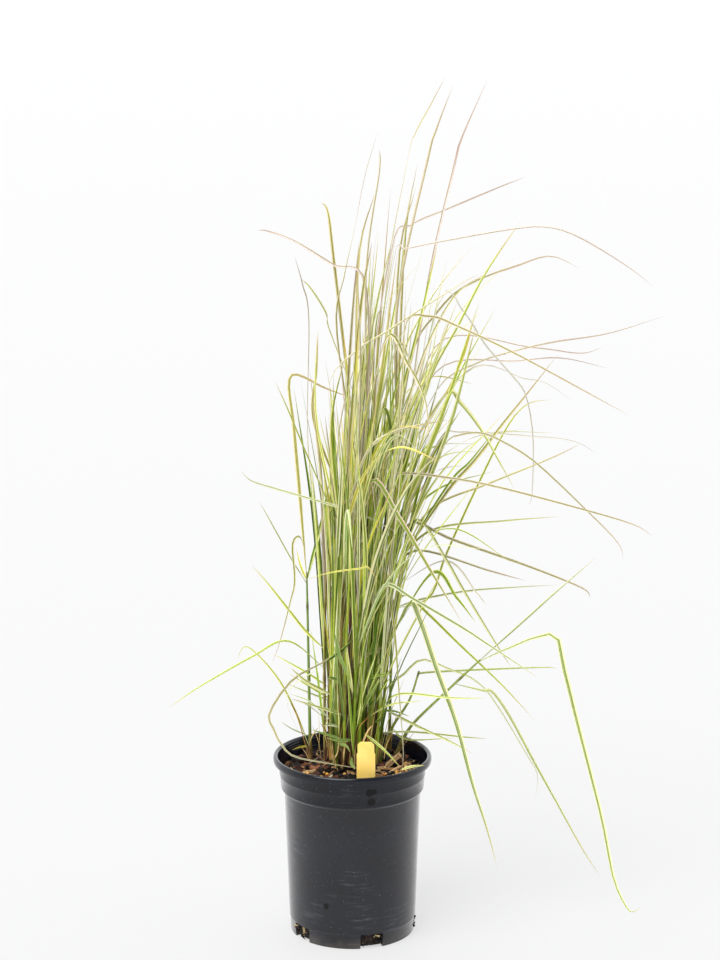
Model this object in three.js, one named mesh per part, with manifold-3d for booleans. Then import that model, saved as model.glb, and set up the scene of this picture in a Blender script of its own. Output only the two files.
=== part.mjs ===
// A tall nursery pot of variegated feather reed grass, in millimetres, with +Z up.
// The origin is the centre of the pot's underside. The front of the plant faces -Y.
import * as THREE from "three";
import { mergeVertices } from "three/addons/utils/BufferGeometryUtils.js";
import Module from "manifold-3d";

const wasm = await Module();
wasm.setup();

// Pot
const POT_HEIGHT = 190;
const RIM_RADIUS = 82.5;
const BASE_RADIUS = 65;
const WALL = 1.6;
const FLOOR = 2;
const FOOT_LINE_HEIGHT = 16;
const COLLAR_BOTTOM = 155;
const COLLAR_RADIUS = 74.6;
const BODY_TOP_RADIUS = 71;
const LIP_HEIGHT = 8;
const LIP_WIDTH = 5;
const POT_SIDES = 36;
const DRAIN_COUNT = 5;
const DRAIN_WIDTH = 24;
const DRAIN_HEIGHT = 15;
const DRAIN_DEPTH = 14;
const FIRST_DRAIN_ANGLE = 18;
const CUTTER_REACH = 10;

// Potting mix
const FIT_GAP = 0.35;
const SOIL_EDGE = 172;
const SOIL_CROWN = 180;
const MOUTH_RADIUS = 73.5;
const CHIP_COUNT = 60;
const CHIP_LENGTHS = [8, 15];
const CHIP_WIDTHS = [4, 8];
const CHIP_DEPTHS = [3, 5];
const CHIP_TILT = 0.35;
const CHIP_RISE = 4;
const CHIP_ROOM = 10;

// Tag
const TAG_WIDTH = 19;
const TAG_TOP = 223;
const TAG_BOTTOM = 115;
const TAG_THICKNESS = 0.8;
const TAG_POINT_WIDTH = 4;
const TAG_SHOULDER = 143;
const TAG_STEP = 1;
const TAG_STEP_HEIGHT = 211;
const TAG_CORNER = 3;
const TAG_PLACE = new THREE.Vector3(14, -62, 0);
const TAG_TURN = -4;

// Crown and stems
const GOLDEN_ANGLE = THREE.MathUtils.degToRad(137.5);
const SHOOT_COUNT = 42;
const SHOOT_HEIGHTS = [230, 400];
const OUTER_SHOOT_DROP = 2.2;
const CROWN_RADIUS = 31;
const CROWN_CENTRE = new THREE.Vector2(1, 6);
const STEM_SIDES = 5;
const STEM_STEPS = 3;
const STEM_RADIUS = 2;
const STEM_TOP_RADIUS = 1;
const STEM_SUNK = 24;
const CLUMP_HEIGHT = 430;
const CLUMP_SPREAD = 1.15;
const CLUMP_LEAN = 34;
const LEFT_SHARE = 0.45;

// Blades
const KEEL = 0.65;
const KEEL_SLOPE = 0.15;
const ROOT_NARROWING = 0.25;
const SHARP_BEND = 100;
const OWN_REACH = 45;
const LEAF_GAP = 0.35;
const SAMPLE_STEP = 3;
const CELL = 8;
const DEPTH_SHIFTS = [0, -25, 25, -50, 50, -80, 80];
const STEMS_TRIED = 12;
const LEAF_LENGTHS = [190, 330];
const LEAF_WIDTHS = [3, 4.6];
const LAST_LEAF_WIDTHS = [2.6, 3.6];
const LEAF_LEANS = [3, 11];
const LEAF_TRIES = 30;
const ARCH_COUNT = 30;
const ARCH_TRIES = 40;
const ARCH_LENGTHS = [220, 380];
const ARCH_WIDTHS = [3, 4.8];
const ARCH_LEANS = [14, 38];

// Seeds of the draws for the crown, each stem's leaves, each arch and the bark
const CROWN_SEED = 11;
const LEAF_SEED = 100;
const ARCH_SEED = 500;
const CHIP_SEED = 37;

// The eye that sees the stray leaves in the places given below
const EYE = new THREE.Vector3(8, -2440, 990);

const UP = new THREE.Vector3(0, 0, 1);
const radians = THREE.MathUtils.degToRad;

// Seeded draws between 0 and 1, the same on each run
let drawState = 0;
function startDraws(seed) {
  drawState = seed;
}

function draw() {
  drawState = (drawState + 0x6d2b79f5) >>> 0;
  let mixed = Math.imul(drawState ^ (drawState >>> 15), drawState | 1);
  mixed ^= mixed + Math.imul(mixed ^ (mixed >>> 7), mixed | 61);
  return ((mixed ^ (mixed >>> 14)) >>> 0) / 4294967296;
}

function between(low, high) {
  return low + (high - low) * draw();
}

// Solids
function toSolid(geometry) {
  geometry.deleteAttribute("normal");
  geometry.deleteAttribute("uv");
  const merged = mergeVertices(geometry, 1e-4);
  const triangles = [];
  for (let i = 0; i < merged.index.count; i += 3) {
    const [a, b, c] = [0, 1, 2].map((corner) => merged.index.getX(i + corner));
    if (a !== b && b !== c && c !== a) triangles.push(a, b, c);
  }
  const mesh = new wasm.Mesh({
    numProp: 3,
    vertProperties: new Float32Array(merged.attributes.position.array),
    triVerts: new Uint32Array(triangles),
  });
  mesh.merge();
  return new wasm.Manifold(mesh);
}

function toGeometry(solid) {
  const largest = solid.decompose().sort((a, b) => b.volume() - a.volume())[0];
  const { vertProperties, triVerts, numProp } = largest.getMesh();
  const positions = [];
  for (let i = 0; i < vertProperties.length; i += numProp) {
    positions.push(vertProperties[i], vertProperties[i + 1], vertProperties[i + 2]);
  }
  const geometry = new THREE.BufferGeometry();
  geometry.setAttribute("position", new THREE.Float32BufferAttribute(positions, 3));
  geometry.setIndex([...triVerts]);
  geometry.computeVertexNormals();
  return geometry;
}

// A closed skin over rings of points. The last ring may be a single point, as at a blade's tip.
function loft(rings) {
  const positions = rings.flat().flatMap((point) => [point.x, point.y, point.z]);
  const index = [];
  const sides = rings[0].length;
  for (let side = 1; side < sides - 1; side++) index.push(0, side + 1, side);
  for (let row = 0; row < rings.length - 1; row++) {
    const start = row * sides;
    const next = start + sides;
    for (let side = 0; side < sides; side++) {
      const beside = (side + 1) % sides;
      if (rings[row + 1].length === 1) {
        index.push(start + side, start + beside, next);
      } else {
        index.push(start + side, start + beside, next + beside);
        index.push(start + side, next + beside, next + side);
      }
    }
  }
  if (rings.at(-1).length > 1) {
    const last = (rings.length - 1) * sides;
    for (let side = 1; side < sides - 1; side++) index.push(last, last + side, last + side + 1);
  }
  const geometry = new THREE.BufferGeometry();
  geometry.setAttribute("position", new THREE.Float32BufferAttribute(positions, 3));
  geometry.setIndex(index);
  return geometry;
}

function revolve(outline) {
  const profile = outline.map(([radius, height]) => new THREE.Vector2(radius, height));
  return new THREE.LatheGeometry(profile, POT_SIDES).rotateX(Math.PI / 2);
}

// Pot
function makePot() {
  const lipBottom = POT_HEIGHT - LIP_HEIGHT;
  const lipInside = RIM_RADIUS - LIP_WIDTH;
  const pot = toSolid(revolve([
    [0, 0],
    [BASE_RADIUS, 0],
    [BASE_RADIUS + 0.6, FOOT_LINE_HEIGHT],
    [BASE_RADIUS + 1.2, FOOT_LINE_HEIGHT + 0.6],
    [BODY_TOP_RADIUS, COLLAR_BOTTOM - 1.5],
    [COLLAR_RADIUS, COLLAR_BOTTOM],
    [COLLAR_RADIUS + 0.9, COLLAR_BOTTOM + 14],
    [COLLAR_RADIUS + 1.5, COLLAR_BOTTOM + 15],
    [COLLAR_RADIUS + 2, lipBottom],
    [RIM_RADIUS - 0.8, lipBottom + 0.4],
    [RIM_RADIUS, lipBottom + 2],
    [RIM_RADIUS, POT_HEIGHT - 2.4],
    [RIM_RADIUS - 2, POT_HEIGHT],
    [lipInside + 1, POT_HEIGHT - 0.5],
    [lipInside, POT_HEIGHT - 2.6],
    [COLLAR_RADIUS + 2 - WALL, lipBottom - 2],
    [COLLAR_RADIUS - WALL, COLLAR_BOTTOM + 1],
    [BODY_TOP_RADIUS - WALL, COLLAR_BOTTOM - 3],
    [BASE_RADIUS + 1.2 - WALL, FOOT_LINE_HEIGHT],
    [BASE_RADIUS - WALL, FLOOR],
    [0, FLOOR],
  ]));
  return drainCutters().reduce((body, cutter) => body.subtract(cutter), pot);
}

// Cut-outs round the edge of the base, open at the wall and the underside
function drainCutters() {
  const cutters = [];
  for (let i = 0; i < DRAIN_COUNT; i++) {
    const deep = DRAIN_DEPTH + CUTTER_REACH;
    const box = new THREE.BoxGeometry(deep, DRAIN_WIDTH, DRAIN_HEIGHT + CUTTER_REACH);
    box.translate(BASE_RADIUS - DRAIN_DEPTH + deep / 2, 0, (DRAIN_HEIGHT - CUTTER_REACH) / 2);
    box.rotateZ(radians(-90 + FIRST_DRAIN_ANGLE + (360 / DRAIN_COUNT) * i));
    cutters.push(toSolid(box));
  }
  return cutters;
}

// Potting mix
function soilHeight(radius) {
  return SOIL_EDGE + (SOIL_CROWN - SOIL_EDGE) * (1 - (radius / MOUTH_RADIUS) ** 2);
}

function makePottingMix(stems) {
  const inside = WALL + FIT_GAP;
  let mix = toSolid(revolve([
    [0, FLOOR + FIT_GAP],
    [BASE_RADIUS - inside - 0.5, FLOOR + FIT_GAP],
    [BASE_RADIUS + 1.2 - inside, FOOT_LINE_HEIGHT],
    [BODY_TOP_RADIUS - inside, COLLAR_BOTTOM - 3],
    [COLLAR_RADIUS - inside, COLLAR_BOTTOM + 1],
    [MOUTH_RADIUS, SOIL_EDGE],
    [MOUTH_RADIUS * 0.6, soilHeight(MOUTH_RADIUS * 0.6)],
    [0, SOIL_CROWN],
  ]));
  for (const chip of barkChips(stems)) mix = mix.add(chip);
  for (const stem of stems) mix = mix.subtract(stemHole(stem));
  return mix.subtract(tagSolid(FIT_GAP));
}

// Wedges of bark, half sunk in the mix, on a sunflower's spiral with seeded turns, clear of the stems
function barkChips(stems) {
  startDraws(CHIP_SEED);
  const chips = [];
  for (let i = 0; i < CHIP_COUNT; i++) {
    const radius = (MOUTH_RADIUS - 9) * Math.sqrt((i + 0.5) / CHIP_COUNT);
    const angle = i * GOLDEN_ANGLE + between(-0.3, 0.3);
    const place = new THREE.Vector3(radius * Math.cos(angle), radius * Math.sin(angle), 0);
    const sides = [CHIP_LENGTHS, CHIP_WIDTHS, CHIP_DEPTHS].map((range) => between(...range));
    const box = new THREE.BoxGeometry(...sides);
    box.rotateX(between(-CHIP_TILT, CHIP_TILT));
    box.rotateY(between(-CHIP_TILT, CHIP_TILT));
    box.rotateZ(between(0, Math.PI));
    box.translate(place.x, place.y, soilHeight(radius) + 0.4);
    const feet = [...stems.map((stem) => stem.points[0]), TAG_PLACE];
    const room = Math.min(...feet.map((foot) => Math.hypot(foot.x - place.x, foot.y - place.y)));
    if (room > CHIP_ROOM) chips.push(toSolid(box));
  }
  return chips;
}

// Tag
function tagSolid(clearance) {
  const half = TAG_WIDTH / 2 + clearance;
  const point = TAG_POINT_WIDTH / 2 + clearance;
  const bottom = TAG_BOTTOM - clearance;
  const top = TAG_TOP + clearance;
  const outline = new THREE.Shape([
    new THREE.Vector2(-point, bottom),
    new THREE.Vector2(point, bottom),
    new THREE.Vector2(half, TAG_SHOULDER),
    new THREE.Vector2(half, TAG_STEP_HEIGHT - TAG_STEP),
    new THREE.Vector2(half - TAG_STEP, TAG_STEP_HEIGHT),
    new THREE.Vector2(half - TAG_STEP, TAG_TOP - TAG_CORNER),
    new THREE.Vector2(half - TAG_STEP - TAG_CORNER, top),
    new THREE.Vector2(-half + TAG_STEP + TAG_CORNER, top),
    new THREE.Vector2(-half + TAG_STEP, TAG_TOP - TAG_CORNER),
    new THREE.Vector2(-half + TAG_STEP, TAG_STEP_HEIGHT),
    new THREE.Vector2(-half, TAG_STEP_HEIGHT - TAG_STEP),
    new THREE.Vector2(-half, TAG_SHOULDER),
  ]);
  const depth = TAG_THICKNESS + 2 * clearance;
  const tag = new THREE.ExtrudeGeometry(outline, { depth, bevelEnabled: false });
  tag.translate(0, 0, -depth / 2);
  tag.rotateX(Math.PI / 2);
  tag.rotateZ(radians(TAG_TURN));
  tag.translate(TAG_PLACE.x, TAG_PLACE.y, TAG_PLACE.z);
  return toSolid(tag);
}

// Stems. Each is known by the points of its line, from the soil up. They fan out with height and lean
// to the right, and only a share as much to the left.
function spreadStem(x, y, height) {
  const points = [];
  for (const share of [0, 0.25, 0.5, 0.75, 1]) {
    const rise = (share * height) / CLUMP_HEIGHT;
    const fan = CLUMP_SPREAD * rise ** 1.3;
    points.push(new THREE.Vector3(
      CROWN_CENTRE.x + x + x * fan * (x < 0 ? LEFT_SHARE : 1) + CLUMP_LEAN * rise ** 2,
      CROWN_CENTRE.y + y + y * fan,
      SOIL_CROWN + share * height,
    ));
  }
  return points;
}

function crownStems() {
  startDraws(CROWN_SEED);
  const stems = [];
  for (let i = 0; i < SHOOT_COUNT; i++) {
    const radius = CROWN_RADIUS * Math.sqrt((i + 0.5) / SHOOT_COUNT);
    const angle = i * GOLDEN_ANGLE + between(-0.06, 0.06);
    const height = between(...SHOOT_HEIGHTS) - radius * OUTER_SHOOT_DROP;
    stems.push({
      name: `shoot_${String(i + 1).padStart(2, "0")}`,
      points: spreadStem(radius * Math.cos(angle), radius * Math.sin(angle), height),
      azimuth: between(0, Math.PI),
      blades: i % 3 === 0 ? 5 : 4,
    });
  }
  return stems;
}

// Stems that stand apart from the crown, by their places in the pot
function lineStem(name, blades, places) {
  const points = places.map(([x, y, z]) => new THREE.Vector3(x, y, z));
  return { name, points, azimuth: 0.3, blades };
}

const loneStems = [
  lineStem("left_culm", 0, [[-44, 12, 178], [-45, 12, 250], [-46, 11, 320], [-47, 10, 382]]),
  lineStem("right_culm", 2, [[39, 50, 175], [40, 52, 240], [41, 54, 300], [42, 56, 360]]),
  lineStem("leaning_culm", 0, [[46, 43, 175], [62, 38, 208], [104, 26, 255], [133, 18, 286]]),
  lineStem("kinked_culm", 0, [[33, 43, 176], [42, 42, 205], [60, 40, 236], [70, 38, 268]]),
];

function lineAt(points, share) {
  return new THREE.CatmullRomCurve3(points, false, "catmullrom", 0.5).getPoint(share);
}

function stemShareAt(stem, height) {
  const [bottom, top] = [stem.points[0].z, stem.points.at(-1).z];
  return (height - bottom) / (top - bottom);
}

function stemRadius(share) {
  return STEM_RADIUS + (STEM_TOP_RADIUS - STEM_RADIUS) * share;
}

function polygonRing(centre, radius) {
  const ring = [];
  for (let side = 0; side < STEM_SIDES; side++) {
    const angle = (2 * Math.PI * side) / STEM_SIDES;
    ring.push(new THREE.Vector3(
      centre.x + radius * Math.cos(angle),
      centre.y + radius * Math.sin(angle),
      centre.z,
    ));
  }
  return ring;
}

function stemBody(stem) {
  const foot = stem.points[0].clone();
  const rings = [polygonRing(foot.setZ(foot.z - STEM_SUNK), STEM_RADIUS)];
  for (let step = 0; step <= STEM_STEPS; step++) {
    const share = step / STEM_STEPS;
    rings.push(polygonRing(lineAt(stem.points, share), stemRadius(share)));
  }
  return toSolid(loft(rings));
}

// A plain hole in the mix, which also clears the bark round the stem
function stemHole(stem) {
  const foot = stem.points[0].clone();
  const bottom = foot.clone().setZ(foot.z - STEM_SUNK - FIT_GAP);
  const above = lineAt(stem.points, stemShareAt(stem, foot.z + 9));
  const radius = STEM_RADIUS + 0.5;
  return toSolid(loft([bottom, foot, above].map((centre) => polygonRing(centre, radius))));
}

// Leaves. A leaf has the points of its line, its width, and its roll about the line at root and tip.
function bladeWidth(width, share) {
  return width * Math.min(1, ROOT_NARROWING + share / 0.28) * (1 - share ** 2.5);
}

function leafSteps(leaf) {
  const spans = leaf.points.length - 1;
  return spans < 4 ? spans * 2 : spans;
}

function leafLine(leaf) {
  const steps = leafSteps(leaf);
  const line = [];
  for (let step = 0; step <= steps; step++) line.push(lineAt(leaf.points, step / steps));
  return line;
}

function spanDirection(line, step) {
  return new THREE.Vector3().subVectors(line[step + 1], line[step]).normalize();
}

// The first and last step of each run of the line between its sharp bends
function limbsOf(line) {
  const turns = [0];
  for (let step = 1; step < line.length - 1; step++) {
    const bend = spanDirection(line, step - 1).angleTo(spanDirection(line, step));
    if (bend > radians(SHARP_BEND)) turns.push(step);
  }
  return turns.map((first, i) => [first, turns[i + 1] ?? line.length - 1]);
}

// The three corners of a blade at each step of a limb, and its tip as one point
function limbRings(leaf, line, across, [first, last]) {
  const rings = [];
  for (let step = first; step <= last; step++) {
    const centre = line[step];
    if (step === line.length - 1) {
      rings.push([centre]);
      continue;
    }
    const share = step / (line.length - 1);
    const tangent = spanDirection(line, step < last ? step : step - 1);
    if (step > first && step < last) tangent.add(spanDirection(line, step - 1)).normalize();
    const side = across.clone().addScaledVector(tangent, -across.dot(tangent)).normalize();
    side.applyAxisAngle(tangent, radians(leaf.roll[0] + (leaf.roll[1] - leaf.roll[0]) * share));
    const face = new THREE.Vector3().crossVectors(side, tangent);
    const half = bladeWidth(leaf.width, share) / 2;
    rings.push([
      centre.clone().addScaledVector(side, -half),
      centre.clone().addScaledVector(side, half),
      centre.clone().addScaledVector(face, -KEEL - half * KEEL_SLOPE),
    ]);
  }
  return rings;
}

// A blade that is bent back sharply is made of limbs that run through each other at the bend
function bladeLimbs(leaf) {
  const line = leafLine(leaf);
  const reach = new THREE.Vector3().subVectors(line.at(-1), line[0]);
  const across = new THREE.Vector3(-reach.y, reach.x, 0).normalize();
  return limbsOf(line).map((limb) => toSolid(loft(limbRings(leaf, line, across, limb))));
}

// Places already taken, so that leaves of different stems pass clear of each other
const taken = new Map();

function cellKey(x, y, z) {
  return `${x},${y},${z}`;
}

function sampleLine(line, radiusAt) {
  const samples = [];
  for (let i = 0; i < line.length - 1; i++) {
    const pieces = Math.ceil(line[i].distanceTo(line[i + 1]) / SAMPLE_STEP);
    for (let piece = 0; piece < pieces; piece++) {
      const share = (i + piece / pieces) / (line.length - 1);
      const point = new THREE.Vector3().lerpVectors(line[i], line[i + 1], piece / pieces);
      samples.push({ point, radius: radiusAt(share), atRoot: point.distanceTo(line[0]) < OWN_REACH });
    }
  }
  samples.push({ point: line.at(-1), radius: radiusAt(1), atRoot: false });
  return samples;
}

function claim(samples, owner) {
  for (const { point, radius, atRoot } of samples) {
    const key = cellKey(
      Math.floor(point.x / CELL),
      Math.floor(point.y / CELL),
      Math.floor(point.z / CELL),
    );
    if (!taken.has(key)) taken.set(key, []);
    taken.get(key).push({ point, radius, atRoot, owner });
  }
}

function isFree(samples, owner) {
  for (const { point, radius, atRoot } of samples) {
    const [x, y, z] = [point.x, point.y, point.z].map((value) => Math.floor(value / CELL));
    for (let i = x - 1; i <= x + 1; i++) {
      for (let j = y - 1; j <= y + 1; j++) {
        for (let k = z - 1; k <= z + 1; k++) {
          for (const other of taken.get(cellKey(i, j, k)) ?? []) {
            if (other.owner === owner && (atRoot || other.atRoot)) continue;
            const room = (radius + other.radius + LEAF_GAP) ** 2 + SAMPLE_STEP ** 2 / 2;
            if (point.distanceToSquared(other.point) < room) return false;
          }
        }
      }
    }
  }
  return true;
}

// Above the mix inside the pot, above the lip over it, and above the ground outside
function isClearOfPot(samples) {
  return samples.every(({ point, radius }) => {
    const out = Math.hypot(point.x, point.y);
    if (out + radius < MOUTH_RADIUS) return point.z > soilHeight(out) + CHIP_RISE + 1;
    if (out - radius < RIM_RADIUS + 1) return point.z > POT_HEIGHT + 1.5 + radius;
    return point.z > 8;
  });
}

function leafSamples(leaf) {
  return sampleLine(leafLine(leaf), (share) => bladeWidth(leaf.width, share) / 2);
}

function tryLeaf(stem, leaf) {
  const samples = leafSamples(leaf);
  if (!isClearOfPot(samples) || !isFree(samples, stem.name)) return false;
  claim(samples, stem.name);
  stem.leaves.push(leaf);
  return true;
}

// Stray leaves as seen from the eye, in the upright plane through the pot's axis: [x, z] from root to tip,
// with the blade's width, how far behind that plane its tip lies, and its roll at root and tip.
const strayLeaves = [
  // Left of the crown, from the soil up
  [3.2, -30, [0, 40], [[-35, 282], [-67, 311], [-104, 294], [-160, 261], [-191, 239]]],
  [2.6, 30, [0, 90], [[-44, 190], [-60, 237], [-79, 274], [-108, 305], [-120, 291]]],
  [3, 60, [0, 30], [[-24, 257], [-52, 280], [-83, 298]]],
  [2.8, -42, [20, 60], [[-5, 311], [-30, 289], [-62, 270], [-86, 234], [-81, 215], [-75, 202],
    [-61, 187], [-24, 179], [12, 173], [40, 168]]],
  [2.4, 40, [0, 40], [[-31, 285], [-67, 255], [-54, 207]]],
  [2.6, -20, [0, 60], [[-18, 239], [-44, 262], [-66, 277]]],
  [2.6, 25, [0, 60], [[-18, 236], [-46, 256], [-71, 267]]],
  [2.4, 0, [0, 60], [[-20, 228], [-44, 246], [-66, 255]]],
  [2.2, -45, [0, 60], [[-22, 222], [-46, 242], [-65, 250]]],
  [2.2, 20, [0, 30], [[-48, 203], [-62, 216], [-75, 225]]],
  [4, -70, [10, 40], [[61, 438], [8, 445], [-33, 458], [-80, 472], [-103, 480], [-114, 491]]],
  [4.2, -40, [20, 50], [[-49, 368], [-62, 396], [-80, 430], [-95, 459]]],
  [3.6, 10, [20, 50], [[-37, 302], [-47, 320], [-67, 346], [-85, 370], [-103, 392]]],
  [3.2, -30, [20, 60], [[-46, 366], [-49, 404], [-54, 421], [-61, 413], [-59, 376], [-64, 352], [-75, 310],
    [-84, 285]]],
  [2.6, 40, [0, 40], [[-50, 372], [-53, 392], [-57, 409]]],
  [4, 0, [0, 60], [[-44, 370], [-36, 412], [-28, 450]]],
  [4, 35, [0, 60], [[-44, 372], [-33, 430], [-22, 486]]],
  [2.4, -70, [0, 80], [[-43, 375], [-20, 384], [8, 388], [17, 389], [30, 369]]],
  [4, 30, [40, 70], [[-47, 379], [-53, 460], [-59, 534], [-62, 588], [-26, 575], [6, 563]]],
  [3.4, 10, [0, 50], [[-46, 381], [-45, 510], [-44, 644], [-50, 681], [-58, 711]]],
  [3.8, -45, [0, 60], [[-7, 408], [-23, 451], [-47, 508], [-65, 553], [-78, 583]]],
  [3.4, 20, [0, 50], [[-33, 460], [-39, 542], [-36, 594], [-34, 635]]],
  [5, -30, [10, 60], [[-15, 560], [-22, 630], [-27, 652], [-42, 677], [-51, 686]]],
  [3.4, -60, [0, 60], [[-45, 500], [-23, 575], [3, 612], [37, 634], [68, 655], [107, 680], [128, 692]]],
  [4, 20, [0, 60], [[-8, 540], [-18, 699], [-24, 752], [-31, 763]]],
  [4, 0, [0, 60], [[-19, 520], [-15, 635], [-7, 690], [3, 736], [13, 788], [26, 834]]],
  [3.4, 60, [0, 60], [[28, 600], [13, 680], [-19, 700], [-58, 724], [-84, 734], [-95, 735]]],
  // Upright tips over the crown
  [5, -20, [0, 60], [[20, 540], [30, 660], [56, 805], [63, 830], [76, 855], [92, 886]]],
  [3.6, 20, [0, 60], [[33, 540], [46, 660], [75, 804], [84, 836], [100, 879]]],
  [3.6, 0, [0, 60], [[56, 560], [76, 680], [101, 796], [109, 827], [135, 887]]],
  [3.4, 40, [0, 60], [[8, 520], [14, 690], [27, 793], [27, 816]]],
  [3, -30, [0, 60], [[26, 560], [32, 690], [39, 783]]],
  [3, 30, [0, 60], [[36, 560], [46, 700], [64, 780]]],
  [3, -10, [0, 60], [[14, 560], [20, 680], [27, 751]]],
  [3, 60, [0, 60], [[-4, 540], [6, 700], [24, 777]]],
  [2.8, 60, [0, 60], [[40, 600], [52, 720], [65, 803]]],
  // Arches to the upper right
  [3, 80, [0, 60], [[36, 600], [40, 715], [60, 740], [93, 755], [147, 778], [173, 788]]],
  [3, -40, [0, 50], [[28, 600], [42, 705], [55, 716], [108, 727], [160, 736], [194, 738], [226, 728],
    [276, 698], [304, 676]]],
  [3, -50, [0, 60], [[18, 560], [24, 636], [35, 662], [67, 702]]],
  [3.6, 20, [0, 60], [[40, 500], [62, 613], [84, 650], [105, 673], [133, 688], [164, 699], [198, 709],
    [229, 696]]],
  [5.2, -60, [0, 70], [[40, 480], [79, 583], [107, 639], [133, 691], [167, 743]]],
  [5.4, -20, [0, 70], [[78, 480], [106, 591], [122, 644]]],
  [4.6, -60, [20, 90], [[12, 500], [34, 624], [56, 600], [74, 563], [79, 512]]],
  [4, -80, [20, 90], [[26, 520], [48, 620], [66, 573]]],
  [3.2, -30, [0, 40], [[70, 520], [89, 578], [127, 601], [152, 610], [201, 622], [257, 631], [317, 650]]],
  [3.6, -70, [10, 70], [[44, 560], [53, 634], [78, 648], [109, 637], [162, 612], [234, 573], [283, 546]]],
  [2.6, 60, [0, 30], [[60, 560], [88, 622], [180, 617], [229, 611], [252, 617]]],
  [2.8, 20, [0, 30], [[66, 540], [88, 595], [166, 603], [211, 606], [261, 595]]],
  [2.6, 110, [0, 30], [[76, 520], [118, 594], [173, 585], [196, 580], [222, 563]]],
  [4, 40, [10, 50], [[58, 400], [99, 471], [125, 501], [153, 539], [176, 569], [208, 611]]],
  [3.6, -10, [10, 50], [[60, 400], [99, 477], [120, 500], [144, 532]]],
  [3.2, 100, [0, 50], [[60, 330], [79, 357], [96, 402], [125, 469], [156, 534], [177, 559], [202, 564]]],
  [4.4, -90, [30, 80], [[70, 500], [95, 569], [110, 560], [131, 533], [149, 501], [166, 470]]],
  [2.8, 0, [0, 60], [[60, 540], [88, 665], [112, 652], [134, 619], [162, 587], [175, 568], [183, 526],
    [183, 467], [179, 454]]],
  [3.2, -60, [0, 60], [[72, 460], [93, 516], [110, 527], [131, 529], [153, 520], [186, 499], [237, 451],
    [271, 416], [278, 397]]],
  [2.6, 90, [0, 30], [[70, 440], [89, 522], [110, 530], [181, 526], [224, 521], [249, 508]]],
  [3, 50, [0, 40], [[60, 400], [81, 451], [139, 477], [201, 503], [233, 519]]],
  // Arches and hanging leaves to the middle and lower right
  [3.6, -50, [10, 60], [[20, 400], [30, 470], [48, 487], [97, 483], [150, 473], [236, 450], [288, 434],
    [307, 422]]],
  [3.4, 70, [0, 40], [[56, 380], [81, 428], [155, 438], [214, 443]]],
  [4, -20, [10, 60], [[46, 400], [61, 436], [101, 419], [179, 391], [235, 368], [245, 357]]],
  [3, 30, [10, 60], [[50, 380], [69, 407], [140, 386], [179, 375]]],
  [3.4, 120, [0, 40], [[48, 330], [70, 355], [117, 364], [164, 368], [211, 371]]],
  [4, -70, [20, 70], [[16, 300], [19, 343], [35, 371], [61, 357], [111, 327], [141, 307], [175, 284],
    [192, 272]]],
  [4.6, -110, [20, 80], [[36, 310], [82, 383], [108, 357], [128, 330]]],
  [4.2, 40, [10, 70], [[56, 400], [67, 439], [94, 400], [115, 363], [148, 308], [165, 282]]],
  [2.4, 0, [0, 50], [[62, 360], [96, 396], [127, 363], [139, 348]]],
  [5, -90, [20, 90], [[18, 400], [21, 480], [50, 439], [81, 386], [97, 359], [117, 324]]],
  [3.6, -96, [20, 100], [[16, 400], [20, 475], [26, 438], [36, 376], [44, 320], [48, 265], [53, 197],
    [52, 168]]],
  [6.4, -130, [20, 80], [[40, 300], [58, 350], [69, 335], [87, 282], [108, 223], [125, 159], [140, 111],
    [153, 62]]],
  [3.6, 10, [10, 60], [[40, 320], [54, 360], [79, 339], [108, 310], [155, 264], [190, 225]]],
  [3.6, 0, [0, 40], [[131, 284], [172, 328], [210, 364], [252, 402]]],
  [5.4, -40, [10, 70], [[131, 282], [154, 300], [206, 318], [218, 284], [232, 230], [244, 185], [262, 116],
    [275, 53], [288, 23], [296, 15], [306, 22]]],
  [4.4, 40, [10, 60], [[104, 252], [135, 258], [145, 256], [163, 230], [189, 181], [213, 137], [242, 84],
    [262, 53]]],
  [3, 60, [0, 50], [[26, 218], [35, 259], [53, 275], [72, 291], [102, 280], [125, 270], [146, 248],
    [181, 189], [193, 166], [191, 141]]],
  [3, 30, [0, 60], [[70, 262], [74, 277], [122, 280], [194, 283], [213, 282]]],
  [3.2, -60, [0, 50], [[30, 240], [49, 254], [102, 250], [140, 250]]],
  [3, -40, [0, 50], [[14, 236], [41, 243], [73, 247]]],
  [3, -70, [0, 50], [[25, 232], [42, 236], [60, 230]]],
  [3.4, -20, [0, 50], [[25, 236], [62, 222], [101, 203], [125, 190]]],
  [2.8, 70, [0, 50], [[32, 214], [65, 213], [114, 208], [141, 206]]],
  [2.4, 20, [0, 50], [[33, 206], [57, 205], [108, 207]]],
];

// The seen place, carried along the line of sight to the depth given
function seenFrom(eye, [x, z], depth) {
  const place = new THREE.Vector3(x, 0, z).sub(eye);
  return place.multiplyScalar((depth - eye.y) / -eye.y).add(eye);
}

function strayFrom(stem, [width, depth, roll, places], shift) {
  const root = lineAt(stem.points, THREE.MathUtils.clamp(stemShareAt(stem, places[0][1]), 0.03, 0.96));
  const points = places.map((place, i) => {
    const share = i / (places.length - 1);
    return i === 0 ? root : seenFrom(EYE, place, root.y + (depth + shift - root.y) * share);
  });
  return { points, width, roll };
}

// The stems nearest to a leaf's root, as seen from the front
function nearestStems(stems, [x, z]) {
  const offset = (stem) => {
    const share = stemShareAt(stem, z);
    const place = lineAt(stem.points, THREE.MathUtils.clamp(share, 0.03, 0.96));
    return Math.hypot(place.x - x, 0.5 * (place.z - z)) + 3 * stem.leaves.length;
  };
  return stems.map((stem) => ({ stem, away: offset(stem) }))
    .sort((a, b) => a.away - b.away)
    .slice(0, STEMS_TRIED)
    .map(({ stem }) => stem);
}

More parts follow.
